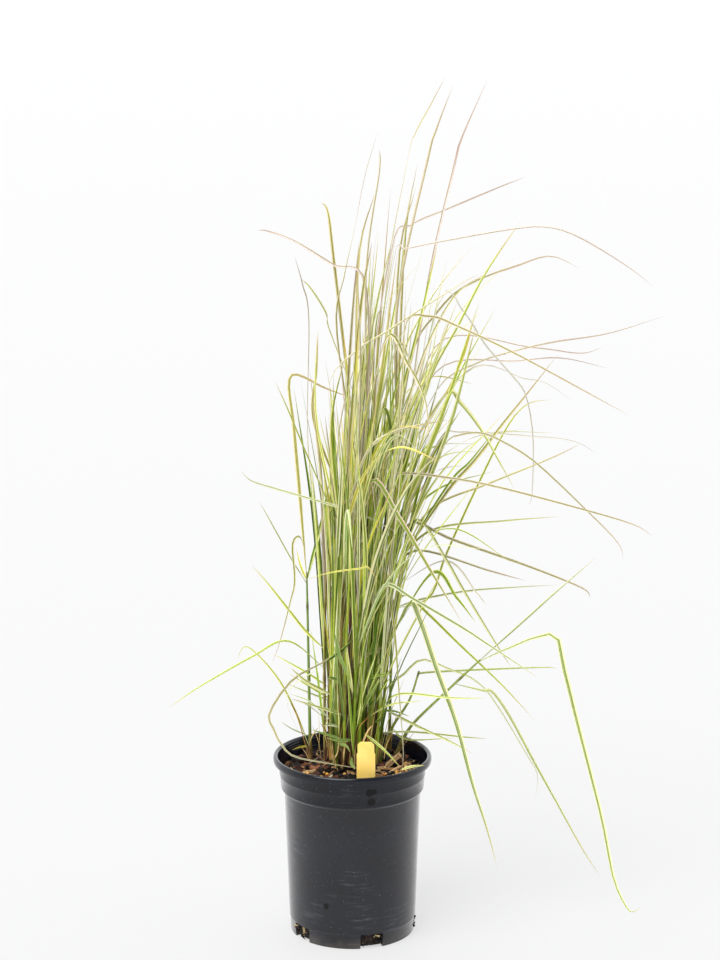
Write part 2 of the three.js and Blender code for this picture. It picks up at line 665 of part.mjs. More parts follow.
// On the first near stem, and with the first shift in depth, that leave it clear
function placeStray(stems, stray) {
  for (const stem of nearestStems(stems, stray[3][0])) {
    for (const shift of DEPTH_SHIFTS) {
      if (tryLeaf(stem, strayFrom(stem, stray, shift))) return;
    }
  }
}

function outward(azimuth) {
  const right = Math.cos(azimuth);
  return new THREE.Vector3(right < 0 ? right * LEFT_SHARE : right, Math.sin(azimuth), 0);
}

// A leaf that leaves its stem by a seeded rule: two ranks up the stem, steeper towards the top
function ruleLeaf(stem, rank, ease) {
  const last = stem.blades - 1;
  const share = rank === last ? 0.96 : 0.4 + (0.5 * rank) / last + between(-0.05, 0.05);
  const azimuth = stem.azimuth + Math.PI * (rank % 2) + between(-0.4, 0.4) * (1 + ease);
  const lean = radians(rank === last ? between(0, 4) : between(...LEAF_LEANS) + 6 * ease * draw());
  const length = between(...LEAF_LENGTHS) * (1 - 0.35 * ease);
  const arch = between(0, 0.12) * (1 + ease);
  const width = rank === last ? between(...LAST_LEAF_WIDTHS) : between(...LEAF_WIDTHS);
  const root = lineAt(stem.points, share);
  const ahead = lineAt(stem.points, Math.min(1, share + 0.04)).sub(lineAt(stem.points, share - 0.04));
  const out = outward(azimuth);
  const start = ahead.normalize().addScaledVector(out, Math.tan(lean)).normalize();
  const middle = root.clone().addScaledVector(start, length * 0.52);
  const tip = root.clone().addScaledVector(start, length);
  tip.addScaledVector(out, length * arch).addScaledVector(UP, -length * arch * 0.6);
  const turn = between(-70, 70);
  return { points: [root, middle, tip], width, roll: [between(-10, 10), turn] };
}

function growLeaves(stem) {
  for (let rank = 0; rank < stem.blades; rank++) {
    for (let attempt = 0; attempt < LEAF_TRIES; attempt++) {
      if (tryLeaf(stem, ruleLeaf(stem, rank, attempt / LEAF_TRIES))) break;
    }
  }
}

// Long arching leaves towards the back and the front
function archLeaf(stem, towards) {
  const azimuth = towards - Math.sign(towards) * between(-0.2, 0.85);
  const lean = radians(between(...ARCH_LEANS));
  const length = between(...ARCH_LENGTHS);
  const droop = between(0.15, 0.7);
  const share = between(0.6, 0.94);
  const root = lineAt(stem.points, share);
  const out = outward(azimuth);
  const start = UP.clone().addScaledVector(out, Math.tan(lean)).normalize();
  const points = [0, 0.34, 0.67, 1].map((part) => root.clone()
    .addScaledVector(start, length * part)
    .addScaledVector(out, length * 0.35 * part ** 2)
    .addScaledVector(UP, -length * droop * part ** 2.2));
  return { points, width: between(...ARCH_WIDTHS), roll: [0, between(-60, 60)] };
}

function growArches(stems) {
  for (let i = 0; i < ARCH_COUNT; i++) {
    startDraws(ARCH_SEED + i);
    const towards = (i % 3 === 0 ? -1 : 1) * (Math.PI / 2);
    for (let attempt = 0; attempt < ARCH_TRIES; attempt++) {
      const stem = stems[Math.floor(draw() * SHOOT_COUNT)];
      if (tryLeaf(stem, archLeaf(stem, towards))) break;
    }
  }
}

function claimStem(stem) {
  const line = [];
  for (let step = 0; step <= STEM_STEPS; step++) line.push(lineAt(stem.points, step / STEM_STEPS));
  claim(sampleLine(line, stemRadius).map((sample) => ({ ...sample, atRoot: true })), stem.name);
}

function claimTag() {
  const samples = [];
  for (let x = -TAG_WIDTH / 2; x <= TAG_WIDTH / 2; x += SAMPLE_STEP) {
    for (let z = SOIL_EDGE; z <= TAG_TOP; z += SAMPLE_STEP) {
      samples.push({ point: new THREE.Vector3(TAG_PLACE.x + x, TAG_PLACE.y, z), radius: 1.5, atRoot: false });
    }
  }
  claim(samples, "tag");
}

function growPlant() {
  const stems = [...crownStems(), ...loneStems].map((stem) => ({ ...stem, leaves: [] }));
  stems.forEach(claimStem);
  claimTag();
  for (const stray of strayLeaves) placeStray(stems, stray);
  stems.forEach((stem, i) => {
    startDraws(LEAF_SEED + i);
    growLeaves(stem);
  });
  growArches(stems);
  return stems;
}

function makeStem(stem) {
  return stem.leaves.flatMap(bladeLimbs).reduce((body, limb) => body.add(limb), stemBody(stem));
}

// Materials
function blackPlastic() {
  return new THREE.MeshStandardMaterial({ color: 0x2b2c30, roughness: 0.42, metalness: 0 });
}

function darkMix() {
  return new THREE.MeshStandardMaterial({ color: 0x2a1d17, roughness: 0.95, metalness: 0 });
}

function yellowPlastic() {
  return new THREE.MeshStandardMaterial({ color: 0xf3d867, roughness: 0.5, metalness: 0 });
}

function variegatedGreen() {
  return new THREE.MeshStandardMaterial({ color: 0x9db45a, roughness: 0.6, metalness: 0 });
}

// The whole part
const plant = new THREE.Group();

function addNode(name, solid, material) {
  const mesh = new THREE.Mesh(toGeometry(solid), material);
  mesh.name = name;
  plant.add(mesh);
}

const stems = growPlant();
addNode("pot", makePot(), blackPlastic());
addNode("potting_mix", makePottingMix(stems), darkMix());
addNode("tag", tagSolid(0), yellowPlastic());
for (const stem of stems) addNode(stem.name, makeStem(stem), variegatedGreen());

export default plant;
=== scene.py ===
"""A variegated feather reed grass in a black nursery pot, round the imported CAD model.

Sizes are in millimetres and become metres where they enter Blender.
"""

import math
import random

import bpy
import numpy as np
from mathutils import Euler, Matrix, Vector, noise


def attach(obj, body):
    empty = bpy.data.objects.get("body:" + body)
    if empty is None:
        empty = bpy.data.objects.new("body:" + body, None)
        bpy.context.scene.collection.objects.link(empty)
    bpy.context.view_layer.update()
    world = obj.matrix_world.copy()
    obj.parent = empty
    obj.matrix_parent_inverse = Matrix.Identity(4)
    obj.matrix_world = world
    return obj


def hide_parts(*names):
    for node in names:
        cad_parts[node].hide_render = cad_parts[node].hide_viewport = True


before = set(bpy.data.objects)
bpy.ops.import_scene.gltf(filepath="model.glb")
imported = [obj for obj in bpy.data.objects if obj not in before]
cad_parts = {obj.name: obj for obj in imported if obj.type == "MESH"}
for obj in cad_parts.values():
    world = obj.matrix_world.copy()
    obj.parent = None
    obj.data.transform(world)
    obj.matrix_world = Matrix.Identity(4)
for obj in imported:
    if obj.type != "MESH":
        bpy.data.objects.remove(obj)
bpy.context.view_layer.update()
MM = 0.001

# Nursery pot: one injection-moulded black polypropylene container with a rolled lip and a collar.
# A disc is extruded ring by ring along the wall's outline, then the drain holes are cut round the base.
POT_HEIGHT = 190
RIM_RADIUS = 82.5
BASE_RADIUS = 65
WALL = 1.6
FLOOR = 2
FOOT_LINE_HEIGHT = 16
COLLAR_BOTTOM = 155
COLLAR_RADIUS = 74.6
LIP_BOTTOM = 182
BODY_TOP_RADIUS = 71
POT_SIDES = 144
DRAIN_COUNT = 5
DRAIN_WIDTH = 24
DRAIN_HEIGHT = 15
DRAIN_DEPTH = 14
DRAIN_ROUNDING = 1.5
CUTTER_REACH = 10
FIRST_DRAIN_ANGLE = 18
RIB_COUNT = 7
RIB_PITCH = 2.4
RIB_DEPTH = 0.3
FIRST_RIB_HEIGHT = 185.6
MOUTH_EDGE = (RIM_RADIUS - 5.2, 187)
MOUTH_DRAFT = 0.125

POT_OUTSIDE = [
    (BASE_RADIUS - 0.9, 0), (BASE_RADIUS - 0.2, 0.3), (BASE_RADIUS, 1),
    (BASE_RADIUS + 0.6, FOOT_LINE_HEIGHT - 0.4), (BASE_RADIUS + 0.9, FOOT_LINE_HEIGHT),
    (BASE_RADIUS + 1.2, FOOT_LINE_HEIGHT + 0.3), (BASE_RADIUS + 1.25, FOOT_LINE_HEIGHT + 1.2),
    (BODY_TOP_RADIUS - 0.05, COLLAR_BOTTOM - 3.2), (BODY_TOP_RADIUS + 0.4, COLLAR_BOTTOM - 2),
    (BODY_TOP_RADIUS + 1.6, COLLAR_BOTTOM - 1), (BODY_TOP_RADIUS + 2.9, COLLAR_BOTTOM - 0.3),
    (COLLAR_RADIUS - 0.15, COLLAR_BOTTOM + 0.6), (COLLAR_RADIUS + 0.05, COLLAR_BOTTOM + 1.8),
    (COLLAR_RADIUS + 0.9, COLLAR_BOTTOM + 13.8), (COLLAR_RADIUS + 1.3, COLLAR_BOTTOM + 14.3),
    (COLLAR_RADIUS + 1.5, COLLAR_BOTTOM + 14.9), (COLLAR_RADIUS + 1.5, COLLAR_BOTTOM + 16),
    (COLLAR_RADIUS + 1.9, 181), (COLLAR_RADIUS + 2.4, LIP_BOTTOM),
]
POT_LIP = [
    (RIM_RADIUS - 1.6, 182.2), (RIM_RADIUS - 0.5, 182.8), (RIM_RADIUS, 184), (RIM_RADIUS, 187),
    (RIM_RADIUS - 0.4, 188.6), (RIM_RADIUS - 1.2, 189.6), (RIM_RADIUS - 2.3, POT_HEIGHT),
    (RIM_RADIUS - 3.4, 189.8), (RIM_RADIUS - 4.3, 189.2), (RIM_RADIUS - 4.9, 188.2),
    MOUTH_EDGE,
]
POT_INSIDE = [
    (COLLAR_RADIUS + 0.4, 167), (COLLAR_RADIUS - WALL, COLLAR_BOTTOM + 1),
    (BODY_TOP_RADIUS - WALL, COLLAR_BOTTOM - 3), (BASE_RADIUS + 1.2 - WALL, FOOT_LINE_HEIGHT),
    (BASE_RADIUS - WALL - 0.1, FLOOR + 1), (BASE_RADIUS - WALL - 1, FLOOR),
]


def deselect_all():
    if bpy.context.object and bpy.context.object.mode == "EDIT":
        bpy.ops.object.mode_set(mode="OBJECT")
    bpy.ops.object.select_all(action="DESELECT")


def turned(name, outline, sides):
    """A closed body from a disc that is extruded and resized from ring to ring."""
    deselect_all()
    radius, height = outline[0]
    bpy.ops.mesh.primitive_circle_add(
        vertices=sides, radius=radius * MM, fill_type="NGON", location=(0, 0, height * MM)
    )
    body = bpy.context.object
    body.name = name
    bpy.ops.object.transform_apply(location=True, rotation=True, scale=True)
    bpy.ops.object.mode_set(mode="EDIT")
    bpy.ops.mesh.select_all(action="SELECT")
    for next_radius, next_height in outline[1:]:
        rise = (next_height - height) * MM
        bpy.ops.mesh.extrude_region_move(TRANSFORM_OT_translate={"value": (0, 0, rise)})
        growth = next_radius / radius
        bpy.ops.transform.resize(
            value=(growth, growth, 1), center_override=(0, 0, next_height * MM)
        )
        radius, height = next_radius, next_height
    bpy.ops.mesh.select_all(action="DESELECT")
    bpy.ops.mesh.select_mode(type="EDGE")
    bpy.ops.mesh.select_non_manifold()
    bpy.ops.mesh.edge_face_add()
    bpy.ops.mesh.select_mode(type="VERT")
    bpy.ops.mesh.select_all(action="SELECT")
    bpy.ops.mesh.normals_make_consistent(inside=False)
    bpy.ops.object.mode_set(mode="OBJECT")
    return body


def finish_with(piece, kind, **settings):
    """Adds a modifier and applies it."""
    bpy.context.view_layer.objects.active = piece
    modifier = piece.modifiers.new(kind.title(), kind)
    for key, value in settings.items():
        setattr(modifier, key, value)
    bpy.ops.object.modifier_apply(modifier=modifier.name)


def pick(piece):
    """Leaves that piece alone selected, and active."""
    deselect_all()
    piece.select_set(True)
    bpy.context.view_layer.objects.active = piece


def smoothed(piece, sharp_from):
    """Smooth shading, but for edges sharper than that many degrees."""
    pick(piece)
    bpy.ops.object.shade_smooth_by_angle(angle=math.radians(sharp_from))


def inner_ribs():
    """The fine rings round the inside of the mouth, under the lip."""
    rings = []
    for rib in range(RIB_COUNT):
        height = FIRST_RIB_HEIGHT - rib * RIB_PITCH
        radius = MOUTH_EDGE[0] - (MOUTH_EDGE[1] - height) * MOUTH_DRAFT
        rings += [(radius, height), (radius - RIB_DEPTH, height - 0.5)]
        rings += [(radius - RIB_DEPTH - 0.05, height - 1.1), (radius - 0.15, height - 1.5)]
    return rings


def drain_turn(drain):
    """The angle of a drain about the pot's axis, from the front one on."""
    return math.radians(-90 + FIRST_DRAIN_ANGLE + 360 / DRAIN_COUNT * drain)


pot = turned("nursery_pot", POT_OUTSIDE + POT_LIP + inner_ribs() + POT_INSIDE, POT_SIDES)

for drain in range(DRAIN_COUNT):
    deselect_all()
    deep, tall = DRAIN_DEPTH + CUTTER_REACH, DRAIN_HEIGHT + CUTTER_REACH
    bpy.ops.mesh.primitive_cube_add(size=1)
    cutter = bpy.context.object
    middle = BASE_RADIUS - DRAIN_DEPTH + deep / 2
    cutter.data.transform(
        Matrix.Rotation(drain_turn(drain), 4, "Z")
        @ Matrix.Translation((middle * MM, 0, (DRAIN_HEIGHT - CUTTER_REACH) / 2 * MM))
        @ Matrix.Diagonal((deep * MM, DRAIN_WIDTH * MM, tall * MM, 1))
    )
    finish_with(cutter, "BEVEL", width=DRAIN_ROUNDING * MM, segments=3)
    finish_with(pot, "BOOLEAN", operation="DIFFERENCE", object=cutter)
    bpy.data.objects.remove(cutter)

smoothed(pot, 38)


def paint(red, green, blue):
    """A colour as seen, from 0 to 255, as Blender's linear colour."""
    seen = [value / 255 for value in (red, green, blue)]
    return tuple(v / 12.92 if v < 0.04045 else ((v + 0.055) / 1.055) ** 2.4 for v in seen) + (1,)


class Nodes:
    """Shader nodes that are added one by one and linked as they are named."""

    def __init__(self, tree):
        self.tree = tree

    def feed(self, socket, value):
        if isinstance(value, bpy.types.NodeSocket):
            self.tree.links.new(value, socket)
        else:
            socket.default_value = value

    def node(self, kind, inputs=None, **settings):
        node = self.tree.nodes.new("ShaderNode" + kind)
        for key, value in settings.items():
            setattr(node, key, value)
        for key, value in (inputs or {}).items():
            self.feed(node.inputs[key], value)
        return node

    def place(self):
        """The point of the surface, in the piece's own metres."""
        return self.node("TexCoord").outputs["Object"]

    def stretched(self, vector, scale):
        return self.node("Mapping", {"Vector": vector, "Scale": scale}).outputs["Vector"]

    def cloud(self, vector, scale, detail=3, roughness=0.5):
        inputs = {"Vector": vector, "Scale": scale, "Detail": detail, "Roughness": roughness}
        return self.node("TexNoise", inputs).outputs["Fac"]

    def ease(self, value, low, high, start=0.0, end=1.0):
        """A smooth step from start to end as the value goes from low to high."""
        inputs = {"Value": value, "From Min": low, "From Max": high, "To Min": start, "To Max": end}
        return self.node("MapRange", inputs, interpolation_type="SMOOTHSTEP").outputs["Result"]

    def calc(self, operation, first, second=0.5, third=0.5):
        node = self.node("Math", operation=operation)
        for socket, value in zip(node.inputs, (first, second, third)):
            self.feed(socket, value)
        return node.outputs[0]

    def mix(self, share, first, second, way="MIX"):
        node = self.node("Mix", data_type="RGBA", blend_type=way)
        self.feed(node.inputs[0], share)
        self.feed(node.inputs[6], first)
        self.feed(node.inputs[7], second)
        return node.outputs[2]

    def away(self, place, centre):
        """The distance from a centre, which is given in millimetres."""
        inputs = {0: place, 1: tuple(value * MM for value in centre)}
        return self.node("VectorMath", inputs, operation="DISTANCE").outputs["Value"]


class Finish(Nodes):
    """A material round the standard surface shader."""

    def __init__(self, name, roughness):
        self.material = bpy.data.materials.new(name)
        self.material.use_nodes = True
        super().__init__(self.material.node_tree)
        self.shader = self.tree.nodes["Principled BSDF"]
        self.into("Roughness", roughness)

    def into(self, name, value):
        self.feed(self.shader.inputs[name], value)

    def attribute(self, name):
        return self.node("Attribute", attribute_name=name)

    def bump(self, height, depth, strength=0.5):
        inputs = {"Height": height, "Distance": depth, "Strength": strength}
        self.into("Normal", self.node("Bump", inputs).outputs["Normal"])


# Dried water drops on the wall's front, each [x, z, radius], and the middles of its rubbed places
WATER_MARKS = [(17.5, 172, 4.2), (22, 173, 2.4), (19.5, 162, 4), (-27, 46, 3)]
SCUFF_PLACES = [(6, -68, 36), (2, -69, 74), (10, -69, 56)]


def black_plastic():
    """Blue-black and half gloss, with a faint mould texture, pale specks, scuffs, splashes and dust."""
    finish = Finish("black_plastic", 0.3)
    place = finish.place()
    parts = finish.node("SeparateXYZ", {"Vector": place})
    tone = finish.ease(finish.cloud(place, 18, 4), 0.35, 0.7)
    colour = finish.mix(tone, paint(5, 6, 15), paint(12, 15, 27))
    rings = finish.cloud(finish.stretched(place, (0.1, 0.1, 1)), 300, 4, 0.6)
    rubbed = finish.ease(finish.cloud(place, 26, 3), 0.5, 0.68)
    for centre in SCUFF_PLACES:
        rubbed = finish.calc("MAXIMUM", finish.ease(finish.away(place, centre), 0.02, 0.008), rubbed)
    scuffs = finish.calc("MULTIPLY", finish.ease(rings, 0.5, 0.75, 0, 0.42), rubbed)
    colour = finish.mix(scuffs, colour, paint(104, 108, 114))
    specks = finish.cloud(place, 980, 1)
    colour = finish.mix(finish.ease(specks, 0.74, 0.8, 0, 0.75), colour, paint(150, 150, 146))
    dust = finish.calc("MULTIPLY", finish.ease(parts.outputs["Z"], 0.022, 0.0), finish.cloud(place, 60, 4))
    colour = finish.mix(finish.ease(dust, 0.15, 0.75, 0, 0.45), colour, paint(98, 92, 84))
    wet = 0.0
    for x, z, radius in WATER_MARKS:
        wall = COLLAR_RADIUS + 0.5 if z > COLLAR_BOTTOM else BASE_RADIUS + 1 + 5 * z / COLLAR_BOTTOM
        reach = finish.away(place, (x, -math.sqrt(wall**2 - x**2), z))
        wobble = finish.calc("MULTIPLY_ADD", finish.cloud(place, 180, 2), 4 * MM, reach)
        wet = finish.calc("MAXIMUM", finish.ease(wobble, (radius + 3) * MM, (radius + 1.6) * MM), wet)
    finish.into("Base Color", finish.mix(wet, colour, paint(5, 5, 7)))
    pits = finish.ease(finish.cloud(place, 420, 2), 0.68, 0.74, 0, 0.8)
    dull = finish.calc("MAXIMUM", pits, finish.calc("MULTIPLY", wet, 0.6))
    finish.into("Coat Weight", finish.calc("SUBTRACT", 1.0, dull))
    collar = finish.ease(parts.outputs["Z"], (COLLAR_BOTTOM - 2) * MM, (COLLAR_BOTTOM + 1) * MM)
    foot = finish.ease(parts.outputs["Z"], (FOOT_LINE_HEIGHT + 1) * MM, (FOOT_LINE_HEIGHT - 1) * MM, 0, 0.4)
    finish.into("Coat IOR", finish.calc("MULTIPLY_ADD", finish.calc("ADD", collar, foot), -0.12, 1.46))
    lip = finish.ease(parts.outputs["Z"], LIP_BOTTOM * MM, (LIP_BOTTOM + 2) * MM)
    rough = finish.ease(finish.cloud(place, 55, 5), 0.3, 0.75, 0.3, 0.42)
    glossier = finish.calc("MULTIPLY_ADD", finish.calc("ADD", lip, wet), -0.14, rough)
    finish.into("Roughness", glossier)
    finish.into("Specular IOR Level", 0.12)
    finish.into("Coat Roughness", 0.07)
    finish.bump(finish.cloud(place, 900, 2), 0.05 * MM, 0.35)
    return finish.material


pot.data.materials.append(black_plastic())
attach(pot, "root")
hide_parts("pot")


# Potting mix: dark composted bark and peat, held together by the roots, that fills the pot to 15 mm under
# the lip. The top is domed, pushed up and down by noise, and the drain holes show its side.
FIT_GAP = 0.35
SOIL_EDGE = 172
SOIL_CROWN = 180
MOUTH_RADIUS = 73.5
MIX_SIDES = 120
DOME_RINGS = 30
LUMP_SIZE = 7
LUMP_HEIGHT = 1.8


def soil_height(radius):
    return SOIL_EDGE + (SOIL_CROWN - SOIL_EDGE) * (1 - (radius / MOUTH_RADIUS) ** 2)


inside = WALL + FIT_GAP
mix_outline = [
    (BASE_RADIUS - inside - 0.6, FLOOR + FIT_GAP), (BASE_RADIUS - inside, FLOOR + FIT_GAP + 0.6),
    (BASE_RADIUS - inside, 6), (BASE_RADIUS + 0.3 - inside, 10),
    (BASE_RADIUS + 1.2 - inside, FOOT_LINE_HEIGHT), (BODY_TOP_RADIUS - inside, COLLAR_BOTTOM - 3),
    (COLLAR_RADIUS - inside, COLLAR_BOTTOM + 1),
]
for ring in range(DOME_RINGS):
    radius = MOUTH_RADIUS * (1 - ring / DOME_RINGS)
    mix_outline.append((radius, soil_height(radius)))
mix = turned("potting_mix_body", mix_outline, MIX_SIDES)

for vertex in mix.data.vertices:
    x, y, z = vertex.co / MM
    if z > SOIL_EDGE - 1 and math.hypot(x, y) < MOUTH_RADIUS - 1:
        grain = noise.fractal(Vector((x, y, z)) / LUMP_SIZE, 0.6, 2.1, 4)
        vertex.co.z += LUMP_HEIGHT * MM * grain
smoothed(mix, 60)


def dark_mix():
    """Near-black humus with brown bark dust, pale fibres and a few tan flecks."""
    finish = Finish("dark_mix", 0.9)
    place = finish.place()
    grain = finish.ease(finish.cloud(place, 260, 5, 0.7), 0.4, 0.72)
    colour = finish.mix(grain, paint(9, 7, 6), paint(46, 32, 24))
    red = finish.ease(finish.cloud(place, 90, 3), 0.55, 0.7, 0, 0.6)
    colour = finish.mix(red, colour, paint(40, 22, 15))
    fleck = finish.ease(finish.cloud(finish.stretched(place, (1, 2.2, 1.4)), 330, 1), 0.66, 0.72)
    colour = finish.mix(fleck, colour, paint(150, 122, 84))
    finish.into("Base Color", colour)
    finish.bump(finish.cloud(place, 420, 5, 0.7), 0.8 * MM, 0.9)
    return finish.material


mix.data.materials.append(dark_mix())
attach(mix, "root")
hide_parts("potting_mix")


# Tag: a bare stake label of yellow styrene sheet, 0.8 mm thick, pushed into the mix just inside the lip.
# Its point is extruded upwards row by row, thickened and bevelled. The top bows a little to the front.
TAG_WIDTH = 19
TAG_TOP = 223
TAG_BOTTOM = 115
TAG_THICKNESS = 0.8
TAG_POINT_WIDTH = 4
TAG_SHOULDER = 143
TAG_STEP = 1
TAG_STEP_HEIGHT = 211
TAG_CORNER = 3
TAG_ROOM = 1.5
TAG_PLACE = (14, -62)
TAG_TURN = -4
TAG_ROWS = [
    (TAG_WIDTH, TAG_SHOULDER, 0), (TAG_WIDTH, 172, 0), (TAG_WIDTH, 190, -0.1),
    (TAG_WIDTH, TAG_STEP_HEIGHT - TAG_STEP, -0.5),
    (TAG_WIDTH - 2 * TAG_STEP, TAG_STEP_HEIGHT, -0.5),
    (TAG_WIDTH - 2 * TAG_STEP, TAG_TOP - TAG_CORNER, -0.9),
    (TAG_WIDTH - 2 * TAG_STEP - 2 * TAG_CORNER, TAG_TOP, -1),
]

deselect_all()
bpy.ops.mesh.primitive_plane_add(size=1)
tag = bpy.context.object
tag.name = "plant_tag"
tag.data.transform(
    Matrix.Translation((0, 0, (TAG_BOTTOM + 0.5) * MM))
    @ Matrix.Rotation(math.radians(90), 4, "X")
    @ Matrix.Diagonal((TAG_POINT_WIDTH * MM, MM, 1, 1))
)
bpy.ops.object.mode_set(mode="EDIT")
bpy.ops.mesh.select_mode(type="VERT")
bpy.ops.mesh.select_all(action="DESELECT")
bpy.ops.object.mode_set(mode="OBJECT")
for vertex in tag.data.vertices:
    vertex.select = vertex.co.z > (TAG_BOTTOM + 0.5) * MM
bpy.ops.object.mode_set(mode="EDIT")
wide, high, forward = TAG_POINT_WIDTH, TAG_BOTTOM + 1, 0
for next_wide, next_high, next_forward in TAG_ROWS:
    step = (0, (next_forward - forward) * MM, (next_high - high) * MM)
    bpy.ops.mesh.extrude_region_move(TRANSFORM_OT_translate={"value": step})
    bpy.ops.transform.resize(
        value=(next_wide / wide, 1, 1), center_override=(0, next_forward * MM, next_high * MM)
    )
    wide, high, forward = next_wide, next_high, next_forward
bpy.ops.object.mode_set(mode="OBJECT")
tag.data.transform(
    Matrix.Translation((TAG_PLACE[0] * MM, TAG_PLACE[1] * MM, 0))
    @ Matrix.Rotation(math.radians(TAG_TURN), 4, "Z")
)
finish_with(tag, "SOLIDIFY", thickness=TAG_THICKNESS * MM, offset=0)
finish_with(tag, "BEVEL", width=0.25 * MM, segments=3, limit_method="ANGLE")
smoothed(tag, 30)


def yellow_plastic():
    """Matt yellow sheet with a fine grain, a little paler in patches, and dirt where it meets the mix."""
    finish = Finish("yellow_plastic", 0.5)
    place = finish.place()
    patch = finish.ease(finish.cloud(place, 90, 3), 0.3, 0.7)
    colour = finish.mix(patch, paint(246, 208, 104), paint(250, 215, 118))
    height = finish.node("SeparateXYZ", {"Vector": place}).outputs["Z"]
    soil = finish.calc("MULTIPLY_ADD", finish.cloud(place, 400, 4), 14 * MM, height)
    colour = finish.mix(finish.ease(soil, 0.186, 0.180, 0, 0.75), colour, paint(96, 70, 44))
    finish.into("Base Color", colour)
    finish.bump(finish.cloud(place, 1500, 2), 0.03 * MM, 0.3)
    return finish.material


tag.data.materials.append(yellow_plastic())
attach(tag, "root")
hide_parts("tag")


# Stems: the shoots of one dense crown and four culms that stand apart, each a hollow straw in its leaf
# sheaths. Their lines come from the rule that places the CAD stems, and each is bent from one turned straw.
SHOOT_COUNT = 42
SHOOT_HEIGHTS = (230, 400)
OUTER_SHOOT_DROP = 2.2
CROWN_RADIUS = 31
CROWN_CENTRE = (1, 6)
CROWN_SEED = 11
GOLDEN_ANGLE = math.radians(137.5)
STEM_STEPS = 3
STEM_RADIUS = 2
STEM_TOP_RADIUS = 1
STEM_SUNK = 24
CLUMP_HEIGHT = 430
CLUMP_SPREAD = 1.15
CLUMP_LEAN = 34
LEFT_SHARE = 0.45
LONE_CULMS = [
    ("left_culm", 0, [(-44, 12, 178), (-45, 12, 250), (-46, 11, 320), (-47, 10, 382)]),
    ("right_culm", 2, [(39, 50, 175), (40, 52, 240), (41, 54, 300), (42, 56, 360)]),
    ("leaning_culm", 0, [(46, 43, 175), (62, 38, 208), (104, 26, 255), (133, 18, 286)]),
    ("kinked_culm", 0, [(33, 43, 176), (42, 42, 205), (60, 40, 236), (70, 38, 268)]),
]


class Draws:
    """Seeded draws between 0 and 1, the same as the CAD source makes."""

    def __init__(self, seed):
        self.state = seed

    def draw(self):
        self.state = (self.state + 0x6D2B79F5) & 0xFFFFFFFF
        mixed = ((self.state ^ (self.state >> 15)) * (self.state | 1)) & 0xFFFFFFFF
        twice = ((mixed ^ (mixed >> 7)) * (mixed | 61)) & 0xFFFFFFFF
        mixed ^= (mixed + twice) & 0xFFFFFFFF
        return (mixed ^ (mixed >> 14)) / 4294967296

    def between(self, low, high):
        return low + (high - low) * self.draw()


def spread_stem(x, y, height):
    """The points of a crown stem, which fans out with height and leans to the right."""
    points = []
    for share in (0, 0.25, 0.5, 0.75, 1):
        rise = share * height / CLUMP_HEIGHT
        fan = CLUMP_SPREAD * rise**1.3
        across = x + x * fan * (LEFT_SHARE if x < 0 else 1) + CLUMP_LEAN * rise**2
        points.append((CROWN_CENTRE[0] + across, CROWN_CENTRE[1] + y + y * fan, SOIL_CROWN + share * height))
    return points


def grown_stems():
    """Every stem with its name, its count of blades, its points and the way that its blades face."""
    stems = []
    draws = Draws(CROWN_SEED)
    for number in range(SHOOT_COUNT):
        radius = CROWN_RADIUS * math.sqrt((number + 0.5) / SHOOT_COUNT)
        angle = number * GOLDEN_ANGLE + draws.between(-0.06, 0.06)
        height = draws.between(*SHOOT_HEIGHTS) - radius * OUTER_SHOOT_DROP
        points = spread_stem(radius * math.cos(angle), radius * math.sin(angle), height)
        azimuth = draws.between(0, math.pi)
        name = f"shoot_{number + 1:02d}"
        stems.append((name, 5 if number % 3 == 0 else 4, points, azimuth))
    stems += [(name, blades, points, 0.3) for name, blades, points in LONE_CULMS]
    return [
        {"name": name, "blades": blades, "points": np.array(points, float), "azimuth": azimuth, "leaves": []}
        for name, blades, points, azimuth in stems
    ]


def line_at(points, share):
    """A point of the smooth curve through the points, which bends evenly from one to the next."""
    spans = len(points) - 1
    along = spans * share
    start = math.floor(along)
    part = along - start
    if start >= spans:
        start, part = spans - 1, 1.0
    before = points[start - 1] if start > 0 else points[0] - points[1] + points[0]
    after = points[start + 2] if start + 2 <= spans else points[-1] - points[-2] + points[-1]
    first, second = points[start], points[start + 1]
    leave, arrive = 0.5 * (second - before), 0.5 * (after - first)
    square = -3 * first + 3 * second - 2 * leave - arrive
    cube = 2 * first - 2 * second + leave + arrive
    return first + leave * part + square * (part * part) + cube * (part * part * part)


def stem_place(stem, height):
    """The point of a stem at that height, kept a little off its foot and its top."""
    bottom, top = stem["points"][0][2], stem["points"][-1][2]
    return line_at(stem["points"], min(0.96, max(0.03, (height - bottom) / (top - bottom))))


def stem_radius(share):
    return STEM_RADIUS + (STEM_TOP_RADIUS - STEM_RADIUS) * share


# Blades: flat leaves that leave their stems and arch. Those that stray from the crown are listed: each
# has its width, its depth at the tip, its roll at root and tip, its [x, z] places in the plane through the
# pot's axis as the photograph's eye sees them, and its tone. The rest leave their stems by a seeded rule.
ROOT_NARROWING = 0.25
OWN_REACH = 45
LEAF_GAP = 0.35
SAMPLE_STEP = 3
CELL = 8
CHIP_RISE = 4
CHIP_CLEARANCE = 1
LIP_ROOM = 1.5
GROUND_ROOM = 8
DEPTH_SHIFTS = (0, -25, 25, -50, 50, -80, 80)
STEMS_TRIED = 12
LEAF_CROWDING = 3
LEAF_LENGTHS = (190, 330)
LEAF_WIDTHS = (3, 4.6)
LAST_LEAF_WIDTHS = (2.6, 3.6)
LEAF_LEANS = (3, 11)
LEAF_TRIES = 30
LEAF_SEED = 100
ARCH_COUNT = 30
ARCH_TRIES = 40
ARCH_LENGTHS = (220, 380)
ARCH_WIDTHS = (3, 4.8)
ARCH_LEANS = (14, 38)
ARCH_SEED = 500
EYE = np.array([8, -2440, 990], float)

